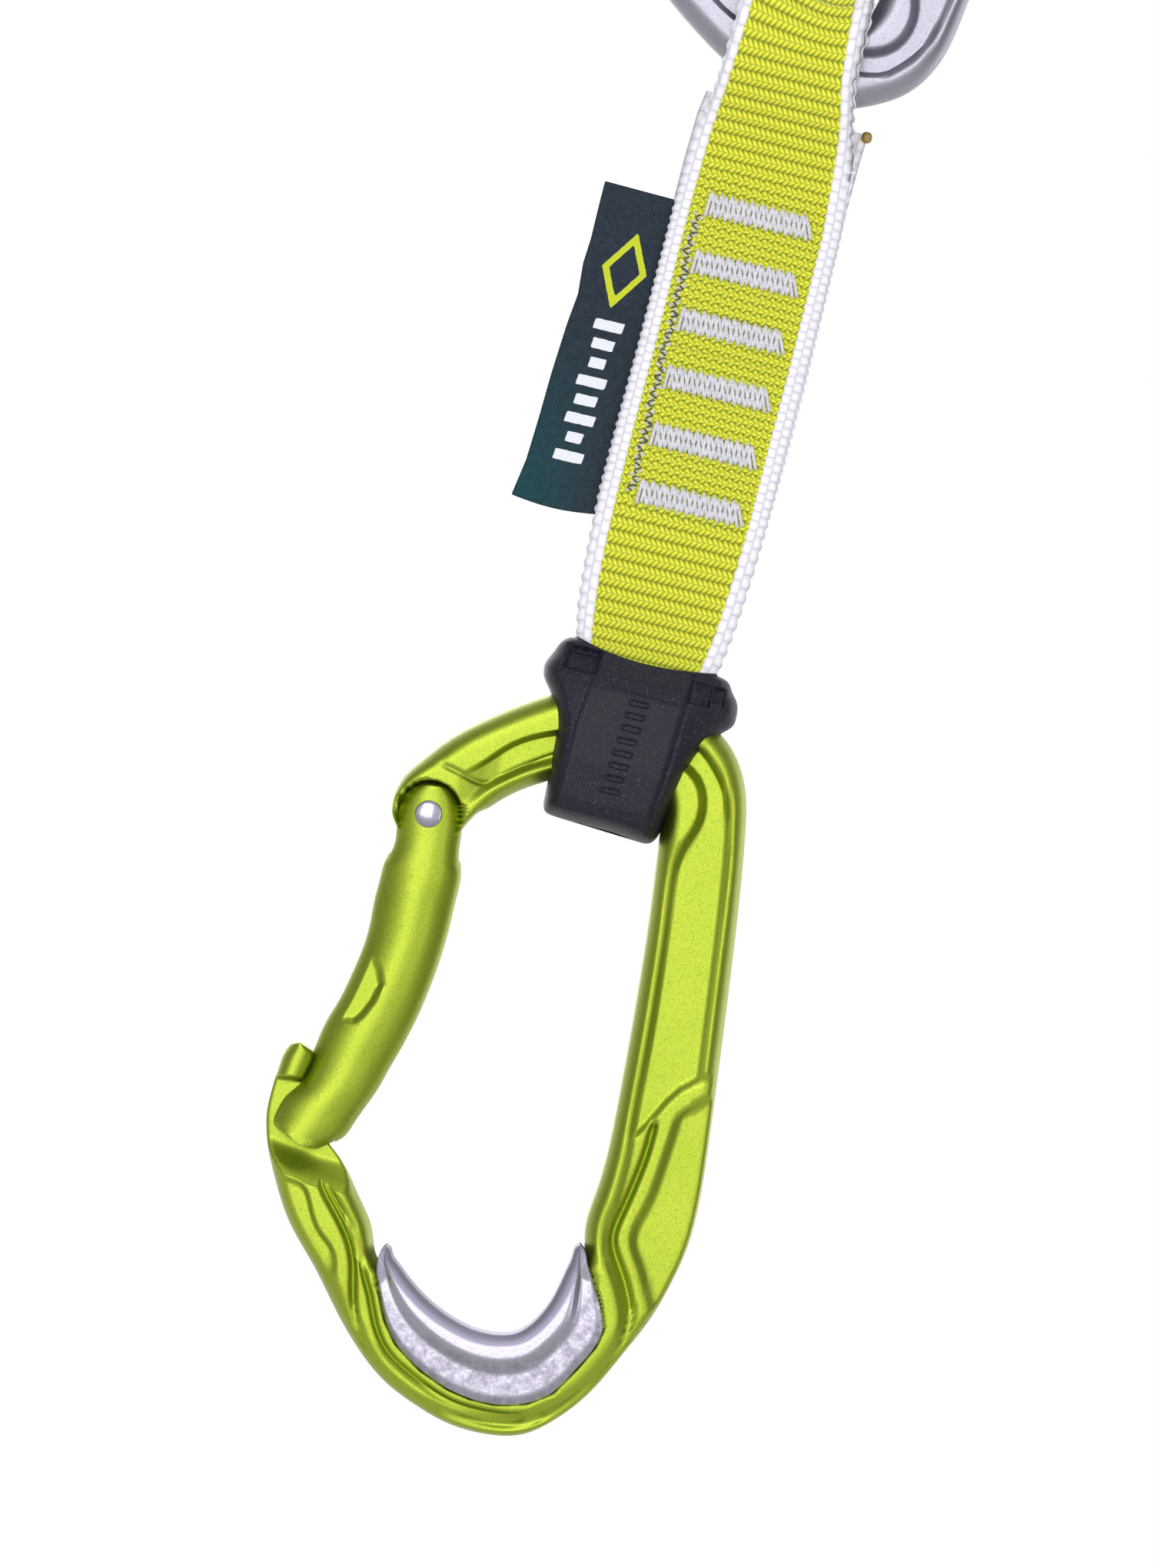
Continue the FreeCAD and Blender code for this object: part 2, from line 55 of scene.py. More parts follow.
# ---- Camera and studio -------------------------------------------------------------------------
# A long lens square to the flat side of the draw, rolled so that the sling leans to the right.
# The studio is a pale tent: a white backdrop, large soft boxes round the draw and a floor below.
ROLL = math.radians(13.5)
FIELD_HEIGHT = 211.8 * MM
CAMERA_DISTANCE = 1.5
aim = Vector((-5.5, 0, -185.5)) * MM
lens = bpy.data.cameras.new("camera")
lens.sensor_width = 36
lens.lens = lens.sensor_width * CAMERA_DISTANCE / FIELD_HEIGHT
camera = bpy.data.objects.new("camera", lens)
scene.collection.objects.link(camera)
to_right = Vector((math.cos(ROLL), 0, math.sin(ROLL)))
to_top = Vector((-math.sin(ROLL), 0, math.cos(ROLL)))
backwards = Vector((0, -1, 0))
turned = Matrix((to_right, to_top, backwards)).transposed().to_4x4()
camera.matrix_world = Matrix.Translation(aim + backwards * CAMERA_DISTANCE) @ turned
scene.camera = camera
scene.view_settings.view_transform = "Standard"


def colour(code):
    """An sRGB hex value as linear light: c / 12.92 below 0.04045, else ((c + 0.055) / 1.055) ** 2.4."""
    parts = [int(code[i:i + 2], 16) / 255 for i in (1, 3, 5)]
    linear = [c / 12.92 if c <= 0.04045 else ((c + 0.055) / 1.055) ** 2.4 for c in parts]
    return (*linear, 1.0)


def add(owner, kind, inputs=None, **settings):
    """One node: its settings, and for each named input a value, a socket, or a node whose first live
    output feeds it."""
    node = owner.node_tree.nodes.new("ShaderNode" + kind)
    for name, value in settings.items():
        setattr(node, name, value)
    for key, value in (inputs or {}).items():
        if isinstance(value, bpy.types.Node):
            value = next(socket for socket in value.outputs if socket.enabled)
        if isinstance(value, bpy.types.NodeSocket):
            owner.node_tree.links.new(value, node.inputs[key])
        else:
            node.inputs[key].default_value = value
    return node


# The tent is dimmer beside the draw than before and behind it, so faces shine and walls go dark.
SIDE_FLAG, TENT_END = 0.42, 1.3
world = bpy.data.worlds.new("studio_tent")
world.use_nodes = True
world.node_tree.nodes.clear()
facing_share = add(world, "SeparateXYZ", {0: add(world, "TexCoord").outputs["Generated"]}).outputs["Y"]
towards_end = add(world, "Math", {0: facing_share}, operation="ABSOLUTE")
glow = add(world, "MapRange", {"Value": towards_end, "From Min": 0.4, "From Max": 0.9,
                               "To Min": SIDE_FLAG, "To Max": TENT_END}, interpolation_type="SMOOTHSTEP")
tent = add(world, "Background", {"Color": colour("#FBFAFF"), "Strength": glow})
backdrop = add(world, "Background", {"Color": colour("#FFFFFF"), "Strength": 1.0})
seen = add(world, "LightPath")
studio = add(world, "MixShader", {0: seen.outputs["Is Camera Ray"], 1: tent, 2: backdrop})
add(world, "OutputWorld", {"Surface": studio})
scene.world = world


def soft_box(name, place, width, height, power):
    """A rectangular area light at a place in metres, turned to face the draw."""
    data = bpy.data.lights.new(name, "AREA")
    data.shape = "RECTANGLE"
    data.size = width
    data.size_y = height
    data.energy = power
    lamp = bpy.data.objects.new(name, data)
    lamp.location = place
    lamp.rotation_euler = (aim - Vector(place)).to_track_quat("-Z", "Y").to_euler()
    scene.collection.objects.link(lamp)


for facing in (-1, 1):
    side_name = "front" if facing < 0 else "back"
    soft_box(side_name + "_key", (-0.22, facing * 1.62, 0.12), 0.75, 1.0, 7.0)
    soft_box(side_name + "_fill", (0.95, facing * 1.1, -0.1), 0.25, 1.0, 1.2)
soft_box("top_box", (0.0, 0.0, 1.1), 0.9, 0.9, 3.5)

FLOOR_DEPTH = -0.45
FLOOR_HALF = 1.4
floor_mesh = bpy.data.meshes.new("studio_floor")
floor_mesh.from_pydata([(x, y, FLOOR_DEPTH) for x, y in
                        ((-FLOOR_HALF, -FLOOR_HALF), (FLOOR_HALF, -FLOOR_HALF),
                         (FLOOR_HALF, FLOOR_HALF), (-FLOOR_HALF, FLOOR_HALF))], [], [(0, 1, 2, 3)])
floor = bpy.data.objects.new("studio_floor", floor_mesh)
scene.collection.objects.link(floor)
paper = bpy.data.materials.new("matt_backdrop_paper")
paper.use_nodes = True
paper.node_tree.nodes["Principled BSDF"].inputs["Base Color"].default_value = colour("#F2F2F0")
paper.node_tree.nodes["Principled BSDF"].inputs["Roughness"].default_value = 0.9
floor_mesh.materials.append(paper)

# ---- Carabiner frames --------------------------------------------------------------------------
# Each carabiner is one open ring of hot-forged aluminium with an I-beam section: a high rim on the
# inside, sunk panels beside it, a hinge tongue at one end and a keyhole nose with a thin neck at the
# other. Both are tumbled smooth and satin anodised, the rope one lime and the bolt one silver.
SIDES = {"bolt": (-5.05, -1), "rope": (6.5, 1)}     # lean in degrees, and -1 for upside down


def carabiner_place(side, flat):
    """Points (across, up) drawn round the gate rivet, turned by the carabiner's lean, at the rivet."""
    low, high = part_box(side + "_gate_rivet")
    centre = np.array((low + high) / 2) / MM
    lean, upright = SIDES[side]
    cos, sin = math.cos(math.radians(lean)), math.sin(math.radians(lean))
    across, up = flat[..., 0], flat[..., 1] * upright
    return centre[0] + across * cos - up * sin, centre[2] + across * sin + up * cos


def spline(knots, points, at):
    """Natural cubic spline: the bends at the knots solve for equal slopes from both sides, and each
    span is the cubic that its end points and end bends give."""
    gap = np.diff(knots)[:, None]
    slope = np.diff(points, axis=0) / gap
    rows = np.arange(1, len(knots) - 1)
    matrix = np.eye(len(knots))
    matrix[rows, rows - 1] = gap[:-1, 0]
    matrix[rows, rows] = 2 * (gap[:-1, 0] + gap[1:, 0])
    matrix[rows, rows + 1] = gap[1:, 0]
    jumps = np.zeros_like(points)
    jumps[1:-1] = 6 * np.diff(slope, axis=0)
    bend = np.linalg.solve(matrix, jumps)
    span = np.clip(np.searchsorted(knots, at) - 1, 0, len(gap) - 1)
    width = gap[span]
    after, before = (knots[span + 1] - at)[:, None], (at - knots[span])[:, None]
    return (bend[span] * after ** 3 + bend[span + 1] * before ** 3) / (6 * width) \
        + (points[span] / width - bend[span] * width / 6) * after \
        + (points[span + 1] / width - bend[span + 1] * width / 6) * before


def smooth_line(points, count):
    """Points spaced evenly by chord length along one smooth curve through a few given ones."""
    points = np.array(points, float)
    knots = np.concatenate([[0], np.cumsum(np.linalg.norm(np.diff(points, axis=0), axis=1))])
    return spline(knots, points, np.linspace(0, knots[-1], count))


def paired_edges(pairs, count, crowd=0.0):
    """Two facing edges sampled together: each row of pairs holds a point of one edge and the point of
    the other straight across from it. Also gives each sample's place in the list of pairs. Crowd draws
    the samples towards both ends: t - crowd * sin(2 pi t) / 2 pi."""
    pairs = np.array(pairs, float)
    knots = np.concatenate([[0], np.cumsum(np.linalg.norm(np.diff(pairs, axis=0), axis=1))])
    at = np.linspace(0, 1, count)
    at = knots[-1] * (at - crowd * np.sin(2 * np.pi * at) / (2 * np.pi))
    both = spline(knots, pairs, at)
    return both[:, :2], both[:, 2:], np.interp(at, knots, np.arange(len(knots)))


def beside(place, line):
    """Signed distance from each point to the nearest straight piece of a line, positive on its left."""
    start, along = line[:-1], np.diff(line, axis=0)
    away = place[..., None, :] - start
    side = along[:, 0] * away[..., 1] - along[:, 1] * away[..., 0]
    share = np.clip((away * along).sum(-1) / (along ** 2).sum(-1), 0, 1)
    reach = np.linalg.norm(away - share[..., None] * along, axis=-1)
    nearest = reach.argmin(-1)[..., None]
    sign = np.sign(np.take_along_axis(side, nearest, -1))
    return (np.take_along_axis(reach, nearest, -1) * sign)[..., 0]


def ramp(distance, width):
    """0 to 1 across a width centred on zero distance, as 3t^2 - 2t^3."""
    t = np.clip(distance / width + 0.5, 0, 1)
    return t * t * (3 - 2 * t)


def soft_min(a, b, blend):
    """The lower of two heights, with their meeting rounded over a blend height."""
    return np.minimum(a, b) - np.maximum(blend - np.abs(a - b), 0) ** 2 / (4 * blend)


def trough(distance, width):
    """A groove's share of its depth: exp(-(distance / width) ^ 2)."""
    return np.exp(-(distance / width) ** 2)


def dome(share, power):
    """A rounded edge: 0 at the edge, 1 from a full radius inwards, on a superellipse of the power."""
    return (1 - (1 - np.clip(share, 0, 1)) ** power) ** (1 / power)


def skin(name, grid, values=None):
    """A mesh with one four-sided face for each cell of a grid of points in millimetres. Points that
    meet are merged, faces are turned outwards, and values are kept as attributes of the points."""
    rows, columns = grid.shape[:2]
    index = np.arange(rows * columns).reshape(rows, columns)
    cells = np.stack([index[:-1, :-1], index[1:, :-1], index[1:, 1:], index[:-1, 1:]], -1).reshape(-1, 4)
    mesh = bpy.data.meshes.new(name)
    mesh.from_pydata((grid.reshape(-1, 3) * MM).tolist(), [], cells.tolist())
    for label, numbers in (values or {}).items():
        vector = numbers.ndim == 3
        layer = mesh.attributes.new(label, "FLOAT_VECTOR" if vector else "FLOAT", "POINT")
        layer.data.foreach_set("vector" if vector else "value", numbers.reshape(-1).astype(np.float32))
    tidy = bmesh.new()
    tidy.from_mesh(mesh)
    bmesh.ops.remove_doubles(tidy, verts=tidy.verts, dist=2e-6)
    bmesh.ops.dissolve_degenerate(tidy, edges=tidy.edges, dist=1e-7)
    bmesh.ops.recalc_face_normals(tidy, faces=tidy.faces)
    tidy.to_mesh(mesh)
    tidy.free()
    mesh.shade_smooth()
    piece = bpy.data.objects.new(name, mesh)
    scene.collection.objects.link(piece)
    return piece


# Outer edge and inner edge of the ring in millimetres round the rivet, from the hinge tongue over the
# sling end, down the spine and round the basket to the nose. +across is to the spine.
RING = (
    (0, -4.15, 0, -4.15), (-2.9, -3.3, 2.9, -3.6), (-4.75, -1.1, 4.8, -1.4), (-5.1, 1.5, 6.5, 0.9),
    (-4.2, 4.3, 7.6, 1.6), (-2, 7, 9, 2.7), (2, 10.8, 12, 4.75), (7, 14.2, 15.2, 6.3),
    (14, 17.9, 19, 8), (20, 19.9, 22.6, 9.1), (26, 20.4, 24.8, 9.5), (32, 18.9, 27.2, 9.2),
    (35.8, 16.9, 28.9, 8.3), (38.9, 14.4, 30.2, 6.95), (41, 11.2, 31, 5.4), (42.1, 8, 31.3, 3.8),
    (42.7, 3, 31.25, 1), (43, -5, 31.2, -6), (43.1, -20, 30.85, -20), (42.95, -38, 29.9, -37),
    (42.5, -49, 28.6, -47.5), (41.6, -54.5, 27.7, -52.8), (40.4, -58.3, 28, -56.2),
    (38, -64, 27, -60.2), (35, -69, 25.3, -64.4), (31, -75, 23.1, -67.6), (27, -79, 20.6, -69.3),
    (22.8, -81.6, 18.5, -69.8), (18.5, -82.2, 16.2, -69.9), (13, -81.5, 13.5, -69.4),
    (8, -79.5, 10.4, -68.3), (3, -76.5, 7.3, -66.5), (-1, -72.5, 4.6, -64.3), (-4.1, -68.4, 2.3, -62),
    (-8, -62.5, 0.1, -59.8), (-12, -57, -0.9, -56.3), (-15, -50.5, -3.2, -52.2),
    (-16.2, -47, -5.6, -48.4), (-16.75, -44, -8.6, -45.3), (-16.8, -41.5, -11.9, -42),
    (-16.35, -38.2, -12.4, -38), (-16, -36.2, -11.9, -36.4), (-15.5, -34.3, -11.45, -35),
    (-14.9, -33.2, -11.5, -33.9), (-14.2, -32.75, -12.7, -33), (-13.5, -32.65, -13.5, -32.65),
)
RING_STATIONS, RING_CELLS, EDGE_CELLS = 620, 50, 8
# Half the thickness of the ring, its hinge tongue, its nose's head and the insert's seat.
HALF_DEPTH, TONGUE_HALF, HEAD_HALF, SEAT_HALF = 5.25, 1.8, 4.4, 4.1
HUB_RADIUS, STEP_RADIUS = 4.55, 51.0        # where the tongue and the neck end, measured from the rivet
# Places in the list of edge points: the hub's end, the seat's ends, and the starts of the neck and head.
HUB_END, SEAT_START, SEAT_END, NECK_START, HEAD_START = 7, 20.5, 35.5, 34.5, 39.3
# The radius of the ring's rounded edges, by place in the list of edge points.
RADIUS_AT = (0, 3, 5.5, 21, 25, 31, 34, 36, 38.5, 40, 44)
RADII = (0.5, 0.9, 3, 3.2, 2.1, 2.1, 3, 3.2, 1.2, 2.2, 2.2)
EDGE_HALF = 5.6                             # the height that the rounded edges climb towards
# How deep each part of the forged relief is sunk, and how wide its walls and grooves are.
PANEL_SINK, LOWER_SINK, LOW_PANEL_SINK, ARM_PANEL_SINK, WALL_WIDTH = 1.8, 1.15, 1.25, 0.8, 1.6
RIDGE_SINK, RIM_GROOVE_SINK, RIB_GROOVE_SINK = 0.35, 0.8, 1.05
RIDGE_WIDTH, RIM_GROOVE_WIDTH, RIB_GROOVE_WIDTH = 0.32, 0.34, 0.42
# Walls, grooves and ends of the forged relief, each from the hinge round towards the nose.
RIM_WALL = (
    (1, -1.6), (4.5, 1.6), (6.5, 3.5), (8, 4.9), (10, 6.1), (12, 7.3), (15.3, 8.5), (19, 10),
    (23, 11.6), (27, 11.8), (31, 11.2), (34, 10), (35.4, 8.6), (36.2, 6.5), (36.3, 4.5), (35.7, 2.3),
    (34.4, -0.3), (33.6, -3), (33.3, -10), (33.2, -20), (32.7, -30), (32.2, -37), (32, -42),
    (31.4, -47), (30.6, -51), (30.2, -54), (31, -56.5), (32.4, -59.5), (33.3, -62), (33.9, -65),
    (33.5, -67.5), (31.5, -71.5), (28.6, -75.3), (25, -77.9), (21.5, -78.9), (18.3, -79), (15, -78.7),
    (11.6, -77.8), (7.3, -75.5), (3.2, -72.4), (1.2, -69), (-0.1, -65), (-1.3, -62), (-2.1, -59.2),
    (-3.5, -56.5), (-5.8, -53.5), (-7.8, -50.6),
)
OUTER_WALL = (
    (1, 3.6), (4.5, 6.3), (6.5, 7.7), (8, 9), (10, 10.6), (12, 11.7), (15.5, 12.9), (21, 14.2),
    (27, 14.9), (32, 14.2), (35.7, 12.8), (36.8, 11.6), (38.5, 9.3), (39.9, 6), (40.6, 2), (40.9, -3.5),
    (40.9, -16), (40.9, -34),
)
ARM_RIDGE = (
    (1.5, 6.7), (3, 6.2), (5, 5.4), (6.3, 5), (7.2, 5), (8.5, 5.6), (10, 6.7), (12, 7.9), (14, 9),
    (19, 11),
)
PANEL_END = (
    (28, -45), (34.2, -38.1), (35.6, -36), (36.6, -34.5), (38.2, -32.7), (40.5, -31.1), (44, -29),
)
RIB_GROOVE = (
    (35.2, -38), (34.6, -42), (33.6, -46), (32.4, -50), (31.6, -54), (33, -57.5), (34.5, -61),
    (35.2, -64.5), (34.6, -67.5), (33, -70.8), (30, -74.8), (27, -77.7), (23, -79.9), (18.5, -80.5),
    (14, -80.2), (9, -79), (5, -77), (2, -74.6), (0, -72), (-1.4, -69), (-2.3, -65), (-2.9, -60.6),
    (-4.2, -57.4), (-6.6, -53.8), (-8.3, -51), (-8.8, -49.3),
)
LOW_PANEL_WALL = (
    (38.4, -35.5), (37.6, -40), (36.8, -44), (35.5, -49), (34.2, -54), (35.3, -56.5), (36.8, -60),
    (38.4, -64.2),
)
LOW_PANEL_TOP = (
    (36, -38.3), (38.2, -36.5), (41.9, -33.6), (45, -31.3),
)
ARM_PANEL_WALL = (
    (-3, -71), (-3.6, -69), (-4.1, -67.5), (-4.9, -64.5), (-5.1, -61.5), (-5.5, -60.2), (-7.8, -57.5),
    (-9.5, -54), (-10.5, -52), (-11.3, -51.4), (-13.5, -51),
)
SEAT_EDGE = (
    (26.6, -54), (28.3, -57.2), (29.6, -59.6), (31, -63), (31.7, -66.2), (30.9, -68.6), (29, -71.5),
    (26, -75.3), (22.8, -77.1), (18.5, -77.8), (15, -77.4), (12, -76.5), (8, -74.4), (4.4, -71.4),
    (2.5, -68.4), (1, -64), (0.5, -61), (1.2, -57.5),
)


def frame_height(place, station, from_outer, from_inner):
    """Half the frame's thickness at each point: the lowest of its rounded edges, the forged relief, the
    hinge tongue, the nose and the seat of the steel insert."""
    across, up = place[..., 0], place[..., 1]
    station = station[:, None]
    rim = beside(place, smooth_line(RIM_WALL, 130))
    outer = -beside(place, smooth_line(OUTER_WALL, 60))
    lower_half = 1 - ramp(beside(place, np.array(PANEL_END)), 0.9) * ramp(up + 45, 8)
    band = ramp(rim - 0.2, 1.5) * ramp(outer, 0.8) * (1 - lower_half)
    relief = PANEL_SINK * band * ramp(across - 6, 6)
    ridge = beside(place, smooth_line(ARM_RIDGE, 30))
    relief += RIDGE_SINK * trough(ridge, RIDGE_WIDTH) * ramp(20 - across, 4)
    relief += LOWER_SINK * ramp(rim - 0.2, WALL_WIDTH) * lower_half * ramp(across - 14, 12)
    relief += RIM_GROOVE_SINK * trough(rim, RIM_GROOVE_WIDTH) * ramp(30 - across, 8) * ramp(-50 - up, 3)
    rib = beside(place, smooth_line(RIB_GROOVE, 90))
    relief += RIB_GROOVE_SINK * trough(rib, RIB_GROOVE_WIDTH) * ramp(-37 - up, 3)
    low_panel = ramp(beside(place, smooth_line(LOW_PANEL_WALL, 24)) - 0.1, WALL_WIDTH)
    low_panel *= ramp(-beside(place, np.array(LOW_PANEL_TOP)), 0.9) * ramp(across - 30, 3)
    relief += LOW_PANEL_SINK * low_panel
    arm_panel = ramp(beside(place, smooth_line(ARM_PANEL_WALL, 30)), 0.8)
    relief += ARM_PANEL_SINK * arm_panel * ramp(-5 - across, 3) * ramp(-48 - up, 2)
    width = from_outer + from_inner
    radius = np.minimum(np.interp(station, RADIUS_AT, RADII), 0.45 * width + 1e-6)
    edge = dome(from_outer / radius, 2) * dome(from_inner / radius, 2)
    height = soft_min(EDGE_HALF * edge, HALF_DEPTH - relief, 0.5)
    from_rivet = np.hypot(across, up)
    hub = TONGUE_HALF + 5 * ramp(from_rivet - HUB_RADIUS, 0.6)
    height = np.where(station < HUB_END, np.minimum(height, hub), height)
    neck = TONGUE_HALF + 4 * ramp(from_rivet - STEP_RADIUS, 5.6)
    head = TONGUE_HALF + (HEAD_HALF * (0.3 + 0.7 * edge) - TONGUE_HALF) * ramp(up + 37.6, 0.7)
    nose = np.where(station > HEAD_START, head, neck) * dome(from_outer / 0.7, 2) ** 0.2
    height = np.where(station > NECK_START, np.minimum(height, nose), height)
    seat = SEAT_HALF + 6 * ramp(beside(place, np.array(SEAT_EDGE)) - 0.3, 0.35)
    at_seat = (station > SEAT_START) & (station < SEAT_END)
    return np.where(at_seat, np.minimum(height, seat), height)


def frame_grid(side):
    """Stations along the ring, each a closed section: across the front from the outer to the inner
    edge at the frame's height, and back across the rear."""
    outer, inner, station = paired_edges(RING, RING_STATIONS, 0.4)
    width = np.linalg.norm(outer - inner, axis=1)[:, None]
    radius = np.minimum(3.2, 0.3 * width)
    turn = np.linspace(0, np.pi / 2, EDGE_CELLS, endpoint=False)
    rise = radius * (1 - np.cos(turn))
    flat = radius + (width - 2 * radius) * np.linspace(0, 1, RING_CELLS + 1)
    reach = np.hstack([rise, flat, width - rise[:, ::-1]])
    share = reach / np.maximum(width, 1e-9)
    place = outer[:, None] + share[..., None] * (inner - outer)[:, None]
    height = frame_height(place, station, reach, width - reach)
    height[:, [0, -1]] = 0
    height[[0, -1]] = 0
    x, z = carabiner_place(side, place)
    front = np.stack([x, -height, z], -1)
    rear = np.stack([x, height, z], -1)
    return np.concatenate([front, rear[:, ::-1]], axis=1)


def new_material(name):
    """An empty node material with its output, ready for a shader."""
    material = bpy.data.materials.new(name)
    material.use_nodes = True
    material.node_tree.nodes.clear()
    return material


def finish_material(material, shader):
    """Joins the shader to the material's output."""
    add(material, "OutputMaterial", {"Surface": shader})
    return material


def satin_anodised(name, face, deep, pit):
    """Bead-blasted and anodised aluminium: a dyed oxide over fine satin grain, so broad soft highlights,
    darker edges and faint darker pits. The grain is 0.2 mm, and the dye varies a little over 10 mm."""
    material = new_material(name)
    where = add(material, "TexCoord").outputs["Object"]
    dye = add(material, "TexNoise", {"Vector": where, "Scale": 100.0, "Detail": 2.0})
    shade = add(material, "Mix", {0: dye, 6: colour(face), 7: colour(deep)}, data_type="RGBA")
    grain = add(material, "TexNoise", {"Vector": where, "Scale": 5000.0, "Detail": 1.0})
    pits = add(material, "MapRange", {"Value": grain, "From Min": 0.5, "From Max": 0.75, "To Max": 0.6})
    speckled = add(material, "Mix", {0: pits, 6: shade, 7: colour(pit)}, data_type="RGBA")
    rough = add(material, "MapRange", {"Value": grain, "To Min": 0.36, "To Max": 0.48})
    bump = add(material, "Bump", {"Height": grain, "Strength": 0.12, "Distance": 0.00003})
    shader = add(material, "BsdfPrincipled", {"Base Color": speckled, "Metallic": 1.0, "Roughness": rough,
                                              "Normal": bump})
    return finish_material(material, shader)


lime_aluminium = satin_anodised("satin_anodised_aluminium_lime", "#A6B63E", "#98A935", "#74831F")
silver_aluminium = satin_anodised("satin_anodised_aluminium_silver", "#A8A5AF", "#9A97A3", "#7E7B88")
ALUMINIUM = {"bolt": (silver_aluminium, "silver_aluminium"), "rope": (lime_aluminium, "lime_aluminium")}
for side, (material, slot) in ALUMINIUM.items():
    ring = skin(side + "_forged_frame", frame_grid(side))
    ring.data.materials.append(material)
    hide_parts(side + "_carabiner_frame")
    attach(ring, side + "_carabiner")

# ---- Gates -------------------------------------------------------------------------------------
# Solid aluminium gates, milled from bar and tumbled round: a fork at the hinge straddles the tongue, and
# a slot at the free end drops over the thin neck of the nose. The rope gate is bent inwards, with a
# shallow thumb facet in the bend, and the bolt gate is straight.
GATE_HUB = (
    (0.2, 4.3, 0.2, 4.3), (-2.2, 3.75, 2.6, 3.65), (-3.9, 1.8, 4.2, 1.6), (-4.3, -0.5, 4.75, -0.8),
    (-4.25, -2.6, 4.8, -3.2), (-4.4, -5, 4.85, -5.3), (-5.15, -6.9, 5.2, -6.9),
)
GATE_MIDDLE = {
    "bolt": (
        (-5.8, -9, 4.9, -8.3), (-6.3, -12, 4, -11.6), (-6.9, -15.5, 3.1, -15), (-7.7, -18.5, 1.9, -19.3),
        (-8.7, -22.2, 0.7, -24), (-9.8, -26.3, -0.4, -28.3), (-10.5, -29.2, -1.4, -32),
        (-11.3, -32.4, -2.1, -34.9),
    ),
    "rope": (
        (-5.5, -9, 5.3, -8.6), (-5.9, -12, 5, -11.4), (-6.15, -15.5, 4.6, -15), (-6.6, -18.5, 3.9, -19.3),
        (-7.6, -22.2, 2.8, -24), (-9, -26.3, 1.6, -28), (-10.3, -29.2, 0, -32.2),
        (-11.3, -32.4, -1.2, -35),
    ),
}
GATE_CHIN = (
    (-11.9, -35, -2, -37), (-13.2, -38.1, -3.3, -39.6), (-15, -40.2, -5, -42.8),
    (-15.9, -42.4, -6.2, -44.8), (-15.8, -44, -8.2, -46.1), (-14.2, -45.1, -10.1, -46.75),
    (-12.2, -46.05, -12.2, -46.05),
)
GATE_HALF, FORK_HALF, NOSE_SLOT_HALF = 4.8, 1.95, 2.1
GATE_STATIONS, GATE_CELLS = 340, 60
# The section's superellipse power by place in the list: squarer at the hub, and flat at the chin.
POWER_AT = (0, 3, 6, 8, 15, 18, 19, 20, 21)
POWERS = (2.8, 2.6, 2.4, 2.05, 2.1, 2.2, 2.5, 4, 8)
CROWN_MIDDLE, CROWN_RADIUS, CROWN_ROLL, CROWN_END = (0.2, -0.1), 4.42, 0.6, 4
SHOULDER_LEVEL, SHOULDER_DEPTH = -6.4, 0.5      # a shallow waist where the fork joins the body
FACET_MIDDLE, FACET_REACH, FACET_HALF = (-6.1, -24), 6.2, 3.6
THUMB_FACET = (
    (-6, -18.5), (-4, -21.5), (-3.4, -23.5), (-4.3, -26), (-5.5, -28), (-6.5, -29), (-8, -29),
    (-8.8, -27.5), (-6, -18.5),
)
FORK_CUT = ((-7, -5.9), (7, -5.9), (7, 6), (-7, 6))
NOSE_CUT = ((-19, -37), (-12.7, -37), (-11.2, -42), (-6.6, -45.9), (-4, -49.5), (-19, -49.5))


def gate_grid(side):
    """Stations down the gate, each an oval section between the two edges: its height is a
    superellipse, nearly round along the body and squarer at the hub and the chin."""
    left, right, station = paired_edges(GATE_HUB + GATE_MIDDLE[side] + GATE_CHIN, GATE_STATIONS)
    turn = np.linspace(0, np.pi, GATE_CELLS + 1)
    share = (1 - np.cos(turn)) / 2
    place = left[:, None] + share[:, None] * (right - left)[:, None]
    power = np.interp(station, POWER_AT, POWERS)[:, None]
    height = GATE_HALF * (1 - np.abs(2 * share - 1) ** power) ** (1 / power)
    across, up = place[..., 0], place[..., 1]
    from_crown = np.hypot(across - CROWN_MIDDLE[0], up - CROWN_MIDDLE[1])
    crown = GATE_HALF * dome((CROWN_RADIUS - from_crown) / CROWN_ROLL, 2.3)
    at_crown = (up > CROWN_MIDDLE[1]) & (station[:, None] < CROWN_END)
    height = np.where(at_crown, np.minimum(height, crown), height)
    waist = trough(up - SHOULDER_LEVEL, 0.55) * np.abs(2 * share - 1) ** 6
    height = height - SHOULDER_DEPTH * waist
    if side == "rope":
        facet = beside(place, np.array(THUMB_FACET))
        near = np.hypot(across - FACET_MIDDLE[0], up - FACET_MIDDLE[1]) < FACET_REACH
        height = height + (np.minimum(height, FACET_HALF) - height) * ramp(-facet - 0.1, 1.0) * near
    height = np.maximum(height, 0)
    height[:, [0, -1]] = 0
    x, z = carabiner_place(side, place)
    front = np.stack([x, -height, z], -1)
    rear = np.stack([x, height, z], -1)
    return np.concatenate([front, rear[:, ::-1]], axis=1)


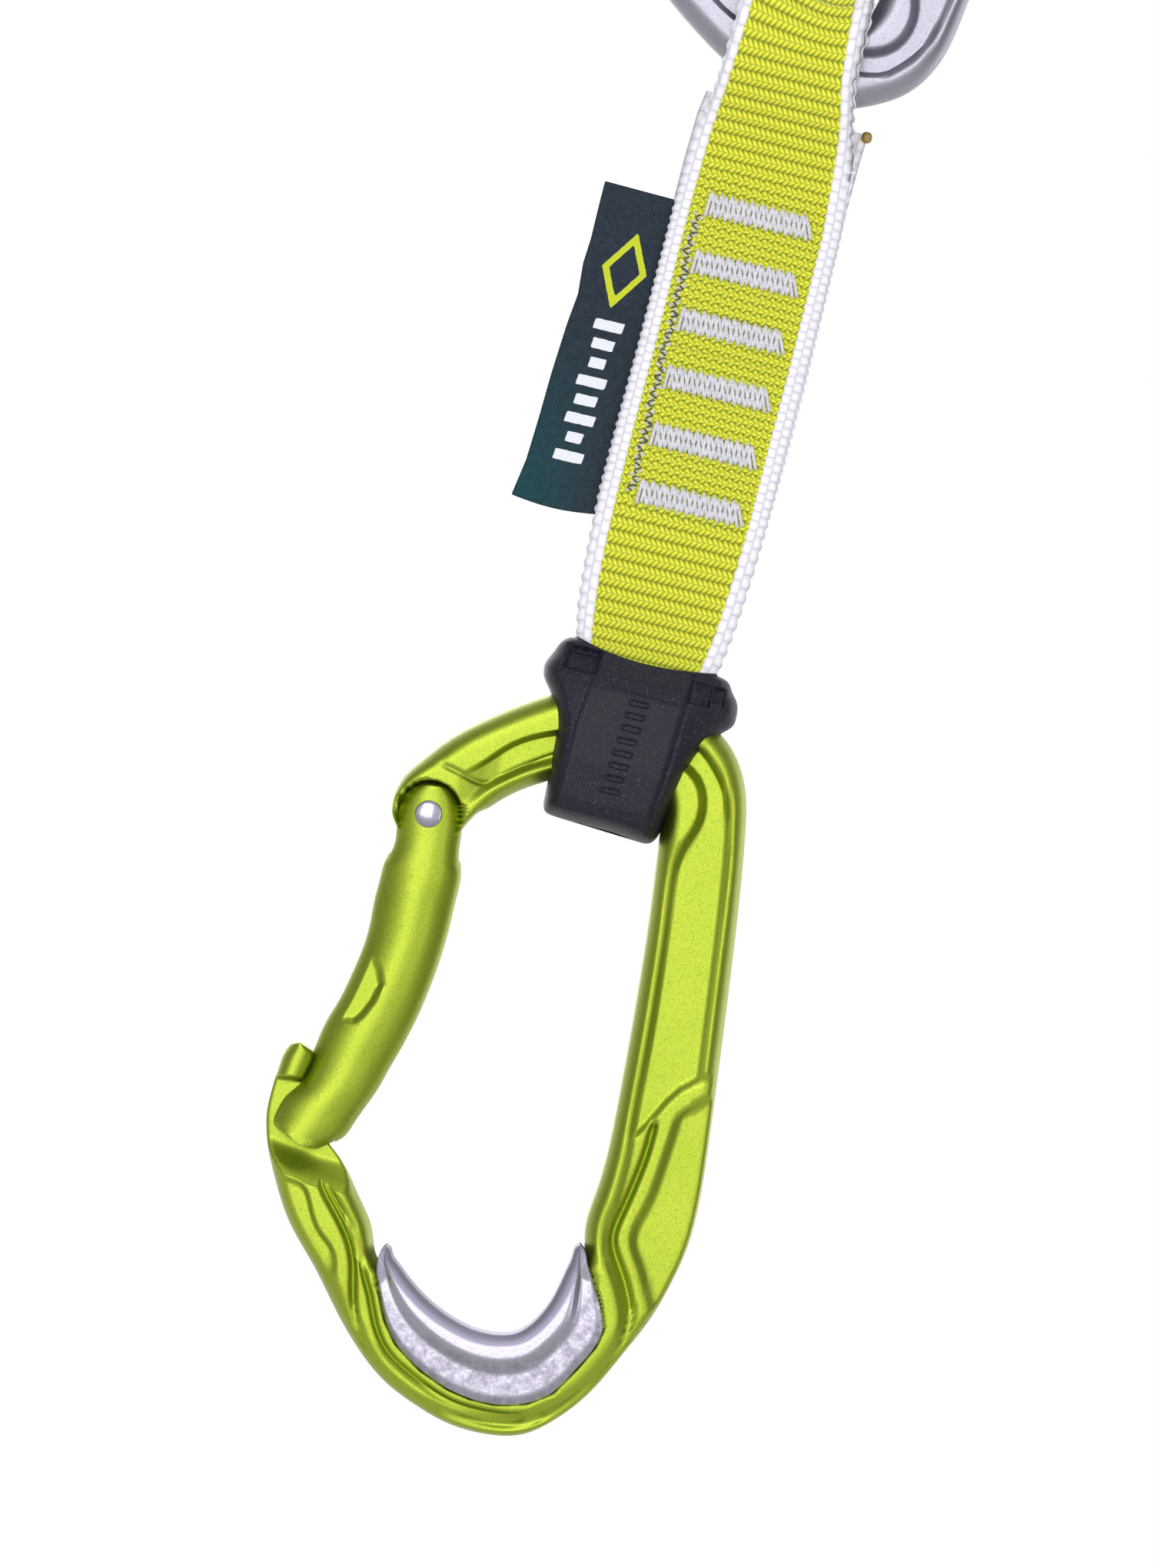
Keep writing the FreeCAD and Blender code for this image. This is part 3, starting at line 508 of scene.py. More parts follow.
def cut_slot(piece, side, outline, half):
    """Takes a straight-sided slot out of a finished piece: the outline carried across the middle."""
    x, z = carabiner_place(side, np.array(outline, float))
    corners = [(a * MM, y * MM, b * MM) for y in (-half, half) for a, b in zip(x, z)]
    count = len(outline)
    walls = [(i, (i + 1) % count, (i + 1) % count + count, i + count) for i in range(count)]
    mesh = bpy.data.meshes.new("cutter")
    mesh.from_pydata(corners, [], walls + [tuple(range(count))[::-1], tuple(range(count, 2 * count))])
    shape = bmesh.new()
    shape.from_mesh(mesh)
    bmesh.ops.recalc_face_normals(shape, faces=shape.faces)
    shape.to_mesh(mesh)
    shape.free()
    cutter = bpy.data.objects.new("cutter", mesh)
    scene.collection.objects.link(cutter)
    slot = piece.modifiers.new("slot", "BOOLEAN")
    slot.operation = "DIFFERENCE"
    slot.solver = "EXACT"
    slot.object = cutter
    bpy.context.view_layer.update()
    done = bpy.data.meshes.new_from_object(piece.evaluated_get(bpy.context.evaluated_depsgraph_get()))
    piece.modifiers.clear()
    piece.data = done
    bpy.data.objects.remove(cutter)
    bpy.data.meshes.remove(mesh)
    return piece


for side, (material, slot) in ALUMINIUM.items():
    gate = skin(side + "_milled_gate", gate_grid(side))
    cut_slot(gate, side, FORK_CUT, FORK_HALF)
    cut_slot(gate, side, NOSE_CUT, NOSE_SLOT_HALF)
    gate.data.shade_smooth()
    gate.data.set_sharp_from_angle(angle=math.radians(40))
    gate.data.materials.clear()
    gate.data.materials.append(material)
    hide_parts(side + "_carabiner_gate")
    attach(gate, side + "_gate")

# ---- Rivets, plungers and springs --------------------------------------------------------------
# Turned stainless rivets with low domed heads hold the gates. In a bore down each gate, a coil spring
# pushes a steel plunger against the hinge tongue, which closes the gate. All are bright from the machine.


def turned_steel(name, face, rough_low, rough_high):
    """Turned or drawn stainless steel: a bright metal with faint tool marks about 0.1 mm across and
    small dull specks of about 0.5 mm."""
    material = new_material(name)
    where = add(material, "TexCoord").outputs["Object"]
    specks = add(material, "TexNoise", {"Vector": where, "Scale": 2000.0, "Detail": 3.0})
    rough = add(material, "MapRange", {"Value": specks, "To Min": rough_low, "To Max": rough_high})
    marks = add(material, "TexNoise", {"Vector": where, "Scale": 10000.0, "Detail": 0.0})
    bump = add(material, "Bump", {"Height": marks, "Strength": 0.1, "Distance": 0.00002})
    shade = add(material, "Mix", {0: specks, 6: colour(face), 7: colour("#8E8A96")}, data_type="RGBA")
    shader = add(material, "BsdfPrincipled", {"Base Color": shade, "Metallic": 1.0, "Roughness": rough,
                                              "Normal": bump})
    return finish_material(material, shader)


rivet_steel = turned_steel("turned_stainless_steel", "#A8A5B0", 0.1, 0.24)
spring_steel = turned_steel("drawn_spring_steel", "#B4B2BA", 0.25, 0.4)
HEAD_RISE, HEAD_PROUD = 0.4, 0.3     # the dome's rise, and how far it stands beyond the CAD rivet


def rivet_grid(node):
    """Rings round the rivet's axis: on each end of a plain shank, a low dome whose rings have radius
    R sin a and stand back from its top by the rise times 1 - cos a."""
    low, high = (np.array(corner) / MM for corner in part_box(node))
    middle, half = (low + high) / 2, (high - low) / 2 + (0, HEAD_PROUD, 0)
    fall = np.linspace(0, np.pi / 2, 14)
    reach = np.concatenate([np.sin(fall), np.sin(fall)[::-1]]) * half[0]
    crown = half[1] - HEAD_RISE * (1 - np.cos(fall))
    depth = np.concatenate([-crown, crown[::-1]])
    turn = np.linspace(0, 2 * np.pi, 49)
    return np.stack([middle[0] + reach[:, None] * np.cos(turn), middle[1] + depth[:, None] + 0 * turn,
                     middle[2] + reach[:, None] * np.sin(turn)], -1)


for side in SIDES:
    rivet = skin(side + "_domed_rivet", rivet_grid(side + "_gate_rivet"))
    rivet.data.materials.append(rivet_steel)
    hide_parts(side + "_gate_rivet")
    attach(rivet, side + "_carabiner")
    for node in ("_gate_plunger", "_gate_spring"):
        part = bpy.data.objects[side + node]
        part.data.materials.clear()
        part.data.materials.append(spring_steel)

# ---- Steel wear inserts ------------------------------------------------------------------------
# A pressed and hardened steel saddle in each basket, a channel whose rolled edge carries the rope and
# whose two flanges grip the aluminium. It is tumbled, then scuffed bright by ropes and hangers.
SADDLE = (
    (27.3, -55.1, 27.3, -55.1), (28, -55.8, 26.8, -55.5), (28.5, -57.2, 26.5, -56.8),
    (29.6, -59.6, 26, -58.6), (31, -63, 24.8, -62.2), (31.7, -66.2, 23.6, -64.6),
    (30.9, -68.6, 22.6, -66), (29, -71.5, 21.4, -67.2), (26, -75.3, 19.6, -68.2),
    (22.8, -77.1, 17.8, -68.5), (18.5, -77.8, 16, -68.45), (15, -77.4, 14, -68.1),
    (12, -76.5, 12, -67.4), (8, -74.4, 9.6, -66.2), (4.4, -71.4, 7, -64.4), (2.5, -68.4, 5, -62.6),
    (1, -64, 3.2, -60.7), (0.5, -60.6, 2.3, -59.5), (0.9, -59, 1.9, -58.7), (1.4, -58.4, 1.4, -58.4),
)
SADDLE_HALF, SADDLE_SKIN, ROLL_WIDTH = 5.55, 1.25, 1.7
DISH_DEPTH, LIP_DEPTH = 0.65, 0.25      # how far the flange steps in halfway out, and at its outer edge
SADDLE_STATIONS = 200


def saddle_grid(side):
    """Stations round the saddle, each a closed channel section: flange, rolled rope edge, rope face,
    flange, and back along the inside one skin thickness in. Also gives the distance out from the rope."""
    outer, rope, station = paired_edges(SADDLE, SADDLE_STATIONS)
    width = np.linalg.norm(outer - rope, axis=1)[:, None]
    roll = np.minimum(ROLL_WIDTH, 0.5 * width)
    turn = np.linspace(0, np.pi / 2, 9)
    flange = np.linspace(1, 0, 26)[None, :]
    out = roll + (width - roll) * flange
    dish = DISH_DEPTH * ramp(out - 0.46 * width, 0.22 * width + 0.05)
    lip = LIP_DEPTH * ramp(out - 0.95 * width, 0.14 * width + 0.05)
    flange_y = SADDLE_HALF - (dish + lip) * np.minimum(1, width / 4)
    roll_out = roll * (1 - np.sin(turn))
    roll_y = SADDLE_HALF - 1.5 + 1.5 * np.cos(turn) + 0 * width
    face_y = np.linspace(SADDLE_HALF - 1.5, -(SADDLE_HALF - 1.5), 16)[None, 1:-1] + 0 * width
    outside_out = np.hstack([out, roll_out[:, 1:]])
    outside_y = np.hstack([flange_y, roll_y[:, 1:]])
    inside = SADDLE_HALF - SADDLE_SKIN
    seat = np.minimum(SADDLE_SKIN, 0.6 * width)
    ways = np.hstack([outside_out, 0 * face_y, outside_out[:, ::-1], width, seat, seat, width, width])
    depth = np.hstack([outside_y, face_y, -outside_y[:, ::-1], -inside + 0 * width, -inside + 0 * width,
                       inside + 0 * width, inside + 0 * width, flange_y[:, :1]])
    share = ways / np.maximum(width, 1e-9)
    place = rope[:, None] + share[..., None] * (outer - rope)[:, None]
    x, z = carabiner_place(side, place)
    return np.stack([x, -depth, z], -1), ways


# The rolled edge keeps its matt tumbled skin for 1.7 mm. Beyond it the steel is bright, and the outer part
# of the flange is mottled with scuffs about 1 mm across.
worn_steel = new_material("pressed_hardened_steel_scuffed")
where = add(worn_steel, "TexCoord").outputs["Object"]
from_rope = add(worn_steel, "Attribute", attribute_name="from_rope_edge").outputs["Fac"]
flange = add(worn_steel, "MapRange", {"Value": from_rope, "From Min": 3.2, "From Max": 4.6, "To Min": 0.12})
blotch = add(worn_steel, "TexNoise", {"Vector": where, "Scale": 900.0, "Detail": 6.0, "Roughness": 0.72})
speckle = add(worn_steel, "MapRange", {"Value": blotch, "From Min": 0.34, "From Max": 0.68})
scuffed = add(worn_steel, "Math", {0: speckle, 1: flange}, operation="MULTIPLY")
bright = add(worn_steel, "Mix", {0: scuffed, 6: colour("#A9A5B1"), 7: colour("#827E8A")}, data_type="RGBA")
shiny = add(worn_steel, "MapRange", {"Value": scuffed, "To Min": 0.2, "To Max": 0.4})
matt = add(worn_steel, "MapRange", {"Value": from_rope, "From Min": 1.5, "From Max": 1.9, "To Min": 1.0,
                                    "To Max": 0.0})
tone = add(worn_steel, "Mix", {0: matt, 6: bright, 7: colour("#A39EB0")}, data_type="RGBA")
dull = add(worn_steel, "Mix", {0: matt, 2: shiny, 3: 0.6})
scratches = add(worn_steel, "TexNoise", {"Vector": where, "Scale": 2600.0, "Detail": 3.0})
dents = add(worn_steel, "Bump", {"Height": scratches, "Strength": 0.3, "Distance": 0.00004})
finish_material(worn_steel, add(worn_steel, "BsdfPrincipled", {
    "Base Color": tone, "Metallic": 1.0, "Roughness": dull, "Normal": dents}))
for side in SIDES:
    grid, from_rope = saddle_grid(side)
    saddle = skin(side + "_steel_saddle", grid, {"from_rope_edge": from_rope})
    saddle.data.set_sharp_from_angle(angle=math.radians(50))
    saddle.data.materials.append(worn_steel)
    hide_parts(side + "_wear_insert")
    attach(saddle, side + "_carabiner")

# ---- Sling tape --------------------------------------------------------------------------------
# One loop of narrow woven polyamide tape, lime with white selvedges, over the bar of one carabiner and
# down round the bar of the other, with its heat-cut end lapped behind. The weft makes ribs across it, open
# on the free loops and beaten flat where it is sewn. Two pieces make it, and they meet in the sewn stretch.
SEAM = -125.0            # height of the middle of the sewn stretch, where the two pieces meet
TAPE_HALF = 0.95
# (depth, height) of the tape's middle in side view, from the seam to the bar's crown.
TAPE_ROUTE = {
    "bolt": (
        (-1.12, -125), (-1.12, -112), (-1.12, -101), (-1.35, -97), (-2.9, -92.8), (-5.4, -88),
        (-6.6, -83.5), (-6.6, -79), (-5.4, -76.4), (-3, -74.9), (0, -74.6),
    ),
    "rope": (
        (-1.12, -125), (-1.12, -140), (-1.12, -158), (-1.35, -162.4), (-2.6, -166.4), (-4.9, -171),
        (-6.5, -176), (-6.6, -179), (-6.2, -181), (-5, -182.5), (-2.8, -183.2), (0, -183.3),
    ),
}
# Left selvedge, left and right side of the lime field, and right selvedge at heights down the tape.
TAPE_WIDTHS = (
    (-74, -8.6, -6.9, 6.3, 9), (-80, -8.8, -7.1, 6.6, 9.1), (-85.3, -9, -7.5, 7.1, 9.1),
    (-89.3, -9.3, -7.8, 8, 9.9), (-92, -9.6, -8.1, 8.5, 10.5), (-96, -10.6, -8.4, 8.9, 11.7),
    (-106, -11, -8.8, 9.5, 12), (-126, -11.3, -9, 9.3, 12), (-136, -11.6, -9.2, 9.1, 11.8),
    (-146, -11.8, -9.3, 9, 11.4), (-152, -11.6, -9.25, 8.7, 11.1), (-158, -11.3, -9, 8.3, 10.7),
    (-162.3, -10.9, -8.6, 7.9, 10.2), (-166.3, -10.1, -8.1, 7.3, 9.6), (-171, -9, -7.1, 6, 8),
    (-176, -8, -6.4, 5.4, 6.7), (-190, -8, -6.4, 5.4, 6.7),
)
SELVEDGE_CELLS, FIELD_CELLS, TAPE_STEP = 5, 34, 0.28
OPEN_RIB, SEWN_RIB = 1.9, 1.25      # rib pitch on the free loops and in the sewn stretch
REAR_INSET = 0.4                    # how much narrower the rear leg is on each side


def bar_edge(side, across):
    """Height of the bar's inner edge at each place across the tape, read from the ring's own edges."""
    inner = paired_edges(RING, RING_STATIONS)[1]
    x, z = carabiner_place(side, inner[(inner[:, 1] > -3) & (inner[:, 0] > 9)])
    return np.interp(across, x, z)


def rib_phase(height):
    """Ribs counted down the tape: the sum of step over pitch, the pitch easing between free and sewn."""
    levels = np.linspace(-60, -200, 1401)
    sewn = ramp(-101 - levels, 8) * ramp(levels + 148, 8)
    pitch = OPEN_RIB + (SEWN_RIB - OPEN_RIB) * sewn
    count = np.cumsum(0.1 / pitch)
    return np.interp(-height, -levels, count), np.interp(-height, -levels, sewn)


def tape_grid(side):
    """Stations along the route, each a closed section: a flat band with full selvedges. The section
    stands square to the route in side view, and rides up at its sides over the bar's round corner."""
    half = np.array(TAPE_ROUTE[side], float)
    whole = np.vstack([half, half[-2::-1] * (-1, 1)])
    length = np.linalg.norm(np.diff(whole, axis=0), axis=1).sum()
    route = smooth_line(whole, int(length / TAPE_STEP))
    along = np.gradient(route, axis=0)
    along /= np.linalg.norm(along, axis=1)[:, None]
    square = np.stack([along[:, 1], -along[:, 0]], 1)
    walked = np.concatenate([[0], np.cumsum(np.linalg.norm(np.diff(route, axis=0), axis=1))])
    walked = np.minimum(walked, walked[-1] - walked)
    heights = SEAM + walked * (1 if side == "bolt" else -1)
    table = np.array(TAPE_WIDTHS)[::-1]
    left, lime_left, lime_right, right = (np.interp(route[:, 1], table[:, 0], table[:, i])[:, None]
                                          for i in (1, 2, 3, 4))
    phase, sewn = rib_phase(heights)
    phase, sewn = phase[:, None], sewn[:, None]
    wave = 0.14 * np.sin(2 * np.pi * phase)
    behind = REAR_INSET * (np.arange(len(route)) > len(route) / 2)[:, None]
    left, right = left - wave + behind, right + wave - behind
    edge = np.linspace(0, 1, SELVEDGE_CELLS + 1)[:-1]
    field = np.linspace(0, 1, FIELD_CELLS + 1)
    across = np.hstack([left + (lime_left - left) * edge, lime_left + (lime_right - lime_left) * field,
                        right + (lime_right - right) * edge[::-1]])
    from_lime = np.maximum(lime_left - across, across - lime_right)
    share = np.clip(from_lime / np.maximum(np.minimum(lime_left - left, right - lime_right), 0.1), 0, 1)
    plump = np.sqrt(np.clip(1 - share ** 3, 0, 1))
    rib = np.cos(2 * np.pi * phase) * (0.17 - 0.1 * sewn) * (from_lime < 0.01)
    thick = (TAPE_HALF + 0.12 * (from_lime > 0) * np.sin(np.pi * np.clip(share, 0, 1))) * plump + rib
    thick[:, [0, -1]] = 0.1
    crown = bar_edge(side, across) - bar_edge(side, np.array([half[-1, 0] + 2.0]))
    near = 1 - np.clip(np.abs(heights[:, None] - heights[len(heights) // 2]) / 16, 0, 1)
    lift = (crown if side == "bolt" else np.minimum(crown, 0)) * near * near * (3 - 2 * near)
    top = [across, route[:, :1] - square[:, :1] * thick, route[:, 1:] - square[:, 1:] * thick + lift]
    low = [across, route[:, :1] + square[:, :1] * thick, route[:, 1:] + square[:, 1:] * thick + lift]
    grid = np.concatenate([np.stack(top, -1), np.stack(low, -1)[:, ::-1]], axis=1)
    grid = np.concatenate([grid, grid[:, :1]], axis=1)
    ends = grid[[0, -1]].mean(axis=1, keepdims=True) + 0 * grid[[0, -1]]
    grid = np.concatenate([ends[:1], grid, ends[1:]])
    rows = np.concatenate([[0], np.arange(len(route)), [len(route) - 1]])
    columns = np.concatenate([np.arange(across.shape[1]), np.arange(across.shape[1])[::-1], [0]])
    weave = np.stack([across[rows][:, columns], (phase + 0 * across)[rows][:, columns],
                      (sewn + 0 * across)[rows][:, columns]], -1)
    return grid, weave, from_lime[rows][:, columns]


def woven_tape(name, lime, middle, deep, white, shadow):
    """Filament polyamide tape: soft-sheened floats lie aslant in each rib, two rows to a rib. Painted shade
    darkens the gaps between them and the rib hollows, and a painted highlight lightens each float's crest.
    Floats are 0.74 mm apart. Where it is sewn, the ribs step in a zigzag 1.45 mm wide.
    The white selvedge is knitted in knuckles about 1.2 mm across, painted white on their crests with painted
    shade between them."""
    material = new_material(name)
    place = add(material, "Attribute", attribute_name="weave").outputs["Vector"]
    parts = add(material, "SeparateXYZ", {0: place})
    across, phase, sewn = (parts.outputs[axis] for axis in "XYZ")
    side = add(material, "Attribute", attribute_name="from_lime").outputs["Fac"]
    zigzags = add(material, "Math", {0: across, 1: 1 / 1.45}, operation="MULTIPLY")
    steps = add(material, "Math", {0: zigzags, 1: 0.5}, operation="PINGPONG")
    stepped = add(material, "Math", {0: steps, 1: sewn}, operation="MULTIPLY")
    pushed = add(material, "Math", {0: stepped, 1: 0.7, 2: phase}, operation="MULTIPLY_ADD")
    rib = add(material, "Math", {0: pushed}, operation="FRACT")
    rows = add(material, "Math", {0: pushed, 1: 2.0}, operation="MULTIPLY")
    row = add(material, "Math", {0: rows}, operation="FRACT")
    slant = add(material, "Math", {0: row, 1: 0.6, 2: across}, operation="MULTIPLY_ADD")
    back = add(material, "Math", {0: row, 1: -0.6, 2: across}, operation="MULTIPLY_ADD")
    upper = add(material, "Math", {0: rib, 1: 0.5}, operation="GREATER_THAN")
    lean = add(material, "Mix", {0: upper, 2: slant, 3: back})
    turns = add(material, "Math", {0: lean, 1: math.pi / 0.74}, operation="MULTIPLY")
    wave = add(material, "Math", {0: turns}, operation="SINE")
    crest = add(material, "Math", {0: wave}, operation="ABSOLUTE")
    floats = add(material, "Math", {0: crest, 1: 0.9}, operation="POWER")
    rib_turn = add(material, "Math", {0: rib, 1: math.tau}, operation="MULTIPLY")
    rise = add(material, "Math", {0: rib_turn}, operation="COSINE")
    hollow = add(material, "MapRange", {"Value": rise, "From Min": -1.0, "From Max": 0.6})
    row_turn = add(material, "Math", {0: row, 1: math.pi}, operation="MULTIPLY")
    row_edge = add(material, "Math", {0: row_turn}, operation="SINE")
    row_body = add(material, "Math", {0: row_edge, 1: 0.4}, operation="POWER")
    body = add(material, "Math", {0: floats, 1: row_body}, operation="MULTIPLY")
    float_light = add(material, "Math", {0: body, 1: 0.75}, operation="MULTIPLY")
    lit = add(material, "Math", {0: hollow, 1: 0.3, 2: float_light}, operation="MULTIPLY_ADD")
    # Painted shade and highlight: the ramp colours the float crests lime and the gaps and rib hollows the
    # deep shade colour.
    tone = add(material, "ValToRGB", {0: lit})
    tone.color_ramp.elements[0].position = 0.06
    tone.color_ramp.elements[0].color = colour(deep)
    tone.color_ramp.elements[1].position = 0.85
    tone.color_ramp.elements[1].color = colour(lime)
    tone.color_ramp.elements.new(0.5).color = colour(middle)
    column = add(material, "Math", {0: side, 1: 1 / 1.2}, operation="MULTIPLY")
    column_turn = add(material, "Math", {0: column, 1: math.pi}, operation="MULTIPLY")
    column_wave = add(material, "Math", {0: column_turn}, operation="SINE")
    column_knuckle = add(material, "Math", {0: column_wave}, operation="ABSOLUTE")
    column_number = add(material, "Math", {0: column}, operation="FLOOR")
    shift = add(material, "Math", {0: column_number, 1: 0.5, 2: phase}, operation="MULTIPLY_ADD")
    shift_turn = add(material, "Math", {0: shift, 1: math.pi}, operation="MULTIPLY")
    shift_wave = add(material, "Math", {0: shift_turn}, operation="SINE")
    shift_knuckle = add(material, "Math", {0: shift_wave}, operation="ABSOLUTE")
    both = add(material, "Math", {0: column_knuckle, 1: shift_knuckle}, operation="MULTIPLY")
    knuckle = add(material, "Math", {0: both, 1: 0.45}, operation="POWER")
    where = add(material, "TexCoord").outputs["Object"]
    lint = add(material, "TexNoise", {"Vector": where, "Scale": 2600.0, "Detail": 2.0})
    fluff = add(material, "Math", {0: lint, 1: 0.3}, operation="MULTIPLY")
    pale_share = add(material, "Math", {0: knuckle, 1: 0.75, 2: fluff}, operation="MULTIPLY_ADD")
    # Painted shade: the selvedge is white on the knuckle crests and the shadow grey between them.
    pale = add(material, "Mix", {0: pale_share, 6: colour(shadow), 7: colour(white)}, data_type="RGBA")
    wander = add(material, "Math", {0: rise, 1: 0.1}, operation="MULTIPLY")
    edge = add(material, "Math", {0: side, 1: wander}, operation="SUBTRACT")
    is_white = add(material, "Math", {0: edge, 1: 0.02}, operation="GREATER_THAN")
    shade = add(material, "Mix", {0: is_white, 6: tone, 7: pale}, data_type="RGBA")
    height = add(material, "Mix", {0: is_white, 2: body, 3: knuckle})
    bump = add(material, "Bump", {"Height": height, "Strength": 0.7, "Distance": 0.00018})
    shader = add(material, "BsdfPrincipled", {"Base Color": shade, "Roughness": 0.62, "Sheen Weight": 0.25,
                                              "Sheen Roughness": 0.4, "Normal": bump})
    return finish_material(material, shader)


# Lime crests, middle tone, deep painted shade for gaps and hollows, white selvedge, and its painted shade
# between knuckles.
tape_material = woven_tape("woven_polyamide_tape", "#E6E83C", "#BEC512", "#6B7704", "#FBFAFD", "#C4C2CE")
TAPE_BENDS = {          # the bodies on each side of the flex, and where the bend starts and ends
    "bolt": ("upper_loop", "sling", -92.5, -101.0, ("sling_upper_loop", "sling_webbing")),
    "rope": ("sling", "rope_carabiner", -159.5, -166.5, ("sling_lower_loop",)),
}
for side, (above, below, bend_from, bend_to, nodes) in TAPE_BENDS.items():
    grid, weave, from_lime = tape_grid(side)
    tape = skin("sling_tape_" + ("upper" if side == "bolt" else "lower"), grid,
                {"weave": weave, "from_lime": from_lime})
    tape.data.materials.append(tape_material)
    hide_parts(*nodes)
    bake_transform(tape)

# The tape's own cut end laps 57 mm up the back, under all the tacks. A hot knife sealed it, which left a
# hard brown bead at one corner.
LAP_TOP, LAP_LOW, LAP_BACK, LAP_HALF, LAP_SELVEDGE = -90.6, -147.5, 2.75, 0.62, 2.3
LAP_STATIONS, LAP_CELLS = 210, 40
LAP_AT = (90.6, 93.5, 100, 147.5)
LAP_LEFT = (-10.3, -10.8, -11.1, -11.7)
LAP_RIGHT = (12.4, 12.2, 12.0, 11.3)


def lap_grid():
    """Stations down the lapped end, each a closed band with rounded sides; the top edge is cut aslant.
    Also gives the weave and the distance from the lime field, as the tape does."""
    levels = np.linspace(LAP_TOP, LAP_LOW, LAP_STATIONS)[:, None]
    phase, sewn = rib_phase(levels)
    share = np.linspace(0, 1, LAP_CELLS)
    left, right = np.interp(-levels, LAP_AT, LAP_LEFT), np.interp(-levels, LAP_AT, LAP_RIGHT)
    across = left + (right - left) * share
    rounded = np.sqrt(1 - np.clip(np.abs(2 * share - 1) * 1.08 - 0.08, 0, 1) ** 8)
    thick = LAP_HALF * rounded + 0.08 * np.cos(2 * np.pi * phase) * rounded
    height = levels - 0.8 * (share - 0.5) * np.clip((levels - LAP_TOP + 6) / 6, 0, 1)
    faces = [np.stack([across, LAP_BACK + way * thick, height], -1) for way in (-1, 1)]
    grid = np.concatenate([faces[0], faces[1][:, ::-1], faces[0][:, :1]], axis=1)
    ends = [grid[[i]].mean(axis=1, keepdims=True) + 0 * grid[[i]] for i in (0, -1)]
    grid = np.concatenate([ends[0], grid, ends[1]])
    rows = np.r_[0, 0:LAP_STATIONS, LAP_STATIONS - 1]
    columns = np.r_[0:LAP_CELLS, LAP_CELLS - 1:-1:-1, 0]
    weave = np.stack([across, phase + 0 * across, sewn + 0 * across], -1)
    from_lime = np.maximum(left + LAP_SELVEDGE - across, across - right + LAP_SELVEDGE)
    return grid, weave[rows][:, columns], from_lime[rows][:, columns]


grid, weave, from_lime = lap_grid()
lap = skin("sling_tape_lapped_end", grid, {"weave": weave, "from_lime": from_lime})
lap.data.materials.append(tape_material)
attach(lap, "sling")


def round_lump(name, middle, half_sizes, rows=24):
    """A closed pebble: latitude rings of an ellipsoid, squared a little, round a middle point."""
    tilt = np.linspace(-np.pi / 2, np.pi / 2, rows)[:, None]
    turn = np.linspace(0, 2 * np.pi, 2 * rows)[None, :]
    ball = np.stack([np.cos(tilt) * np.cos(turn), np.cos(tilt) * np.sin(turn), np.sin(tilt) + 0 * turn], -1)
    ball = np.sign(ball) * np.abs(ball) ** 0.85
    return skin(name, np.array(middle) + ball * np.array(half_sizes))


bead = round_lump("sealed_tape_corner", (12.25, 2.6, -91.3), (0.75, 0.7, 0.8))
# Melted and set again, so glassy, scorched brown and pitted.
sealed = new_material("melted_polyamide_bead")
where = add(sealed, "TexCoord").outputs["Object"]
char = add(sealed, "TexNoise", {"Vector": where, "Scale": 1800.0, "Detail": 2.0})
scorch = add(sealed, "Mix", {0: char, 6: colour("#B99A4A"), 7: colour("#6E5522")}, data_type="RGBA")
pits = add(sealed, "Bump", {"Height": char, "Strength": 0.4, "Distance": 0.0001})
finish_material(sealed, add(sealed, "BsdfPrincipled", {
    "Base Color": scorch, "Roughness": 0.35, "Normal": pits}))
bead.data.materials.append(sealed)
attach(bead, "sling")

# ---- Bar tacks ---------------------------------------------------------------------------------
# Six bars of dense machine zigzag lock the layers together, sewn through with pale grey bonded polyester
# thread. Each bar is two rows of ten stitches, the second laid between the first and a little shorter.
THREAD_RADIUS, TACK_LEGS = 0.24, 20
TACK_ROWS = ((0.0, 1.15), (0.6, 0.95))      # how far along each row starts, and how far its stitches reach
STITCH_LEAN, STITCH_BULGE = 0.55, 0.2
TACK_FRONT, TACK_BACK = 2.2, 3.5            # how far in front and behind the needle thread lies


def thread_tube(path, radius, sides=8):
    """A closed tube round a path: each station's ring stands square to the path, R cos a and R sin a
    along its two cross directions."""
    along = np.gradient(path, axis=0)
    along /= np.linalg.norm(along, axis=1)[:, None]
    depth = np.array([0.0, 1.0, 0.0]) - along * along[:, 1:2]
    depth /= np.linalg.norm(depth, axis=1)[:, None]
    across = np.cross(along, depth)
    turn = np.linspace(0, 2 * np.pi, sides + 1)[:, None]
    ring = np.cos(turn) * across[:, None] + np.sin(turn) * depth[:, None]
    ring = path[:, None] + radius * ring
    tip = np.repeat(path[[0, -1], None], sides + 1, axis=1)
    return np.concatenate([tip[:1], ring, tip[1:]])


def zigzag(left, right, low, high, surface, reach):
    """A needle thread's path: straight legs up and down between low and high, stretched by a reach,
    which lean one way and bulge away from the tape between the needle holes."""
    at = np.linspace(0, TACK_LEGS, TACK_LEGS * 8 + 1)
    swing = 2 * np.abs(at / 2 - np.floor(at / 2 + 0.5))
    middle, span = (low + high) / 2, (high - low) / 2
    x = left + (right - left) * at / TACK_LEGS - STITCH_LEAN * (swing - 0.5)
    z = middle + span * reach * (2 * swing - 1)
    lift = STITCH_BULGE * np.sqrt(np.clip(1 - np.abs(2 * swing - 1) ** 4, 0, 1))
    return np.stack([x, surface + np.sign(surface) * lift, z], -1)


def join_skins(name, grids):
    """Several closed grids in one piece."""
    parts = [skin(f"{name}_{number}", grid) for number, grid in enumerate(grids)]
    joined = bmesh.new()
    for part in parts:
        joined.from_mesh(part.data)
    joined.to_mesh(parts[0].data)
    joined.free()
    for part in parts[1:]:
        data = part.data
        bpy.data.objects.remove(part)
        bpy.data.meshes.remove(data)
    parts[0].name = name
    parts[0].data.name = name
    parts[0].data.shade_smooth()
    return parts[0]


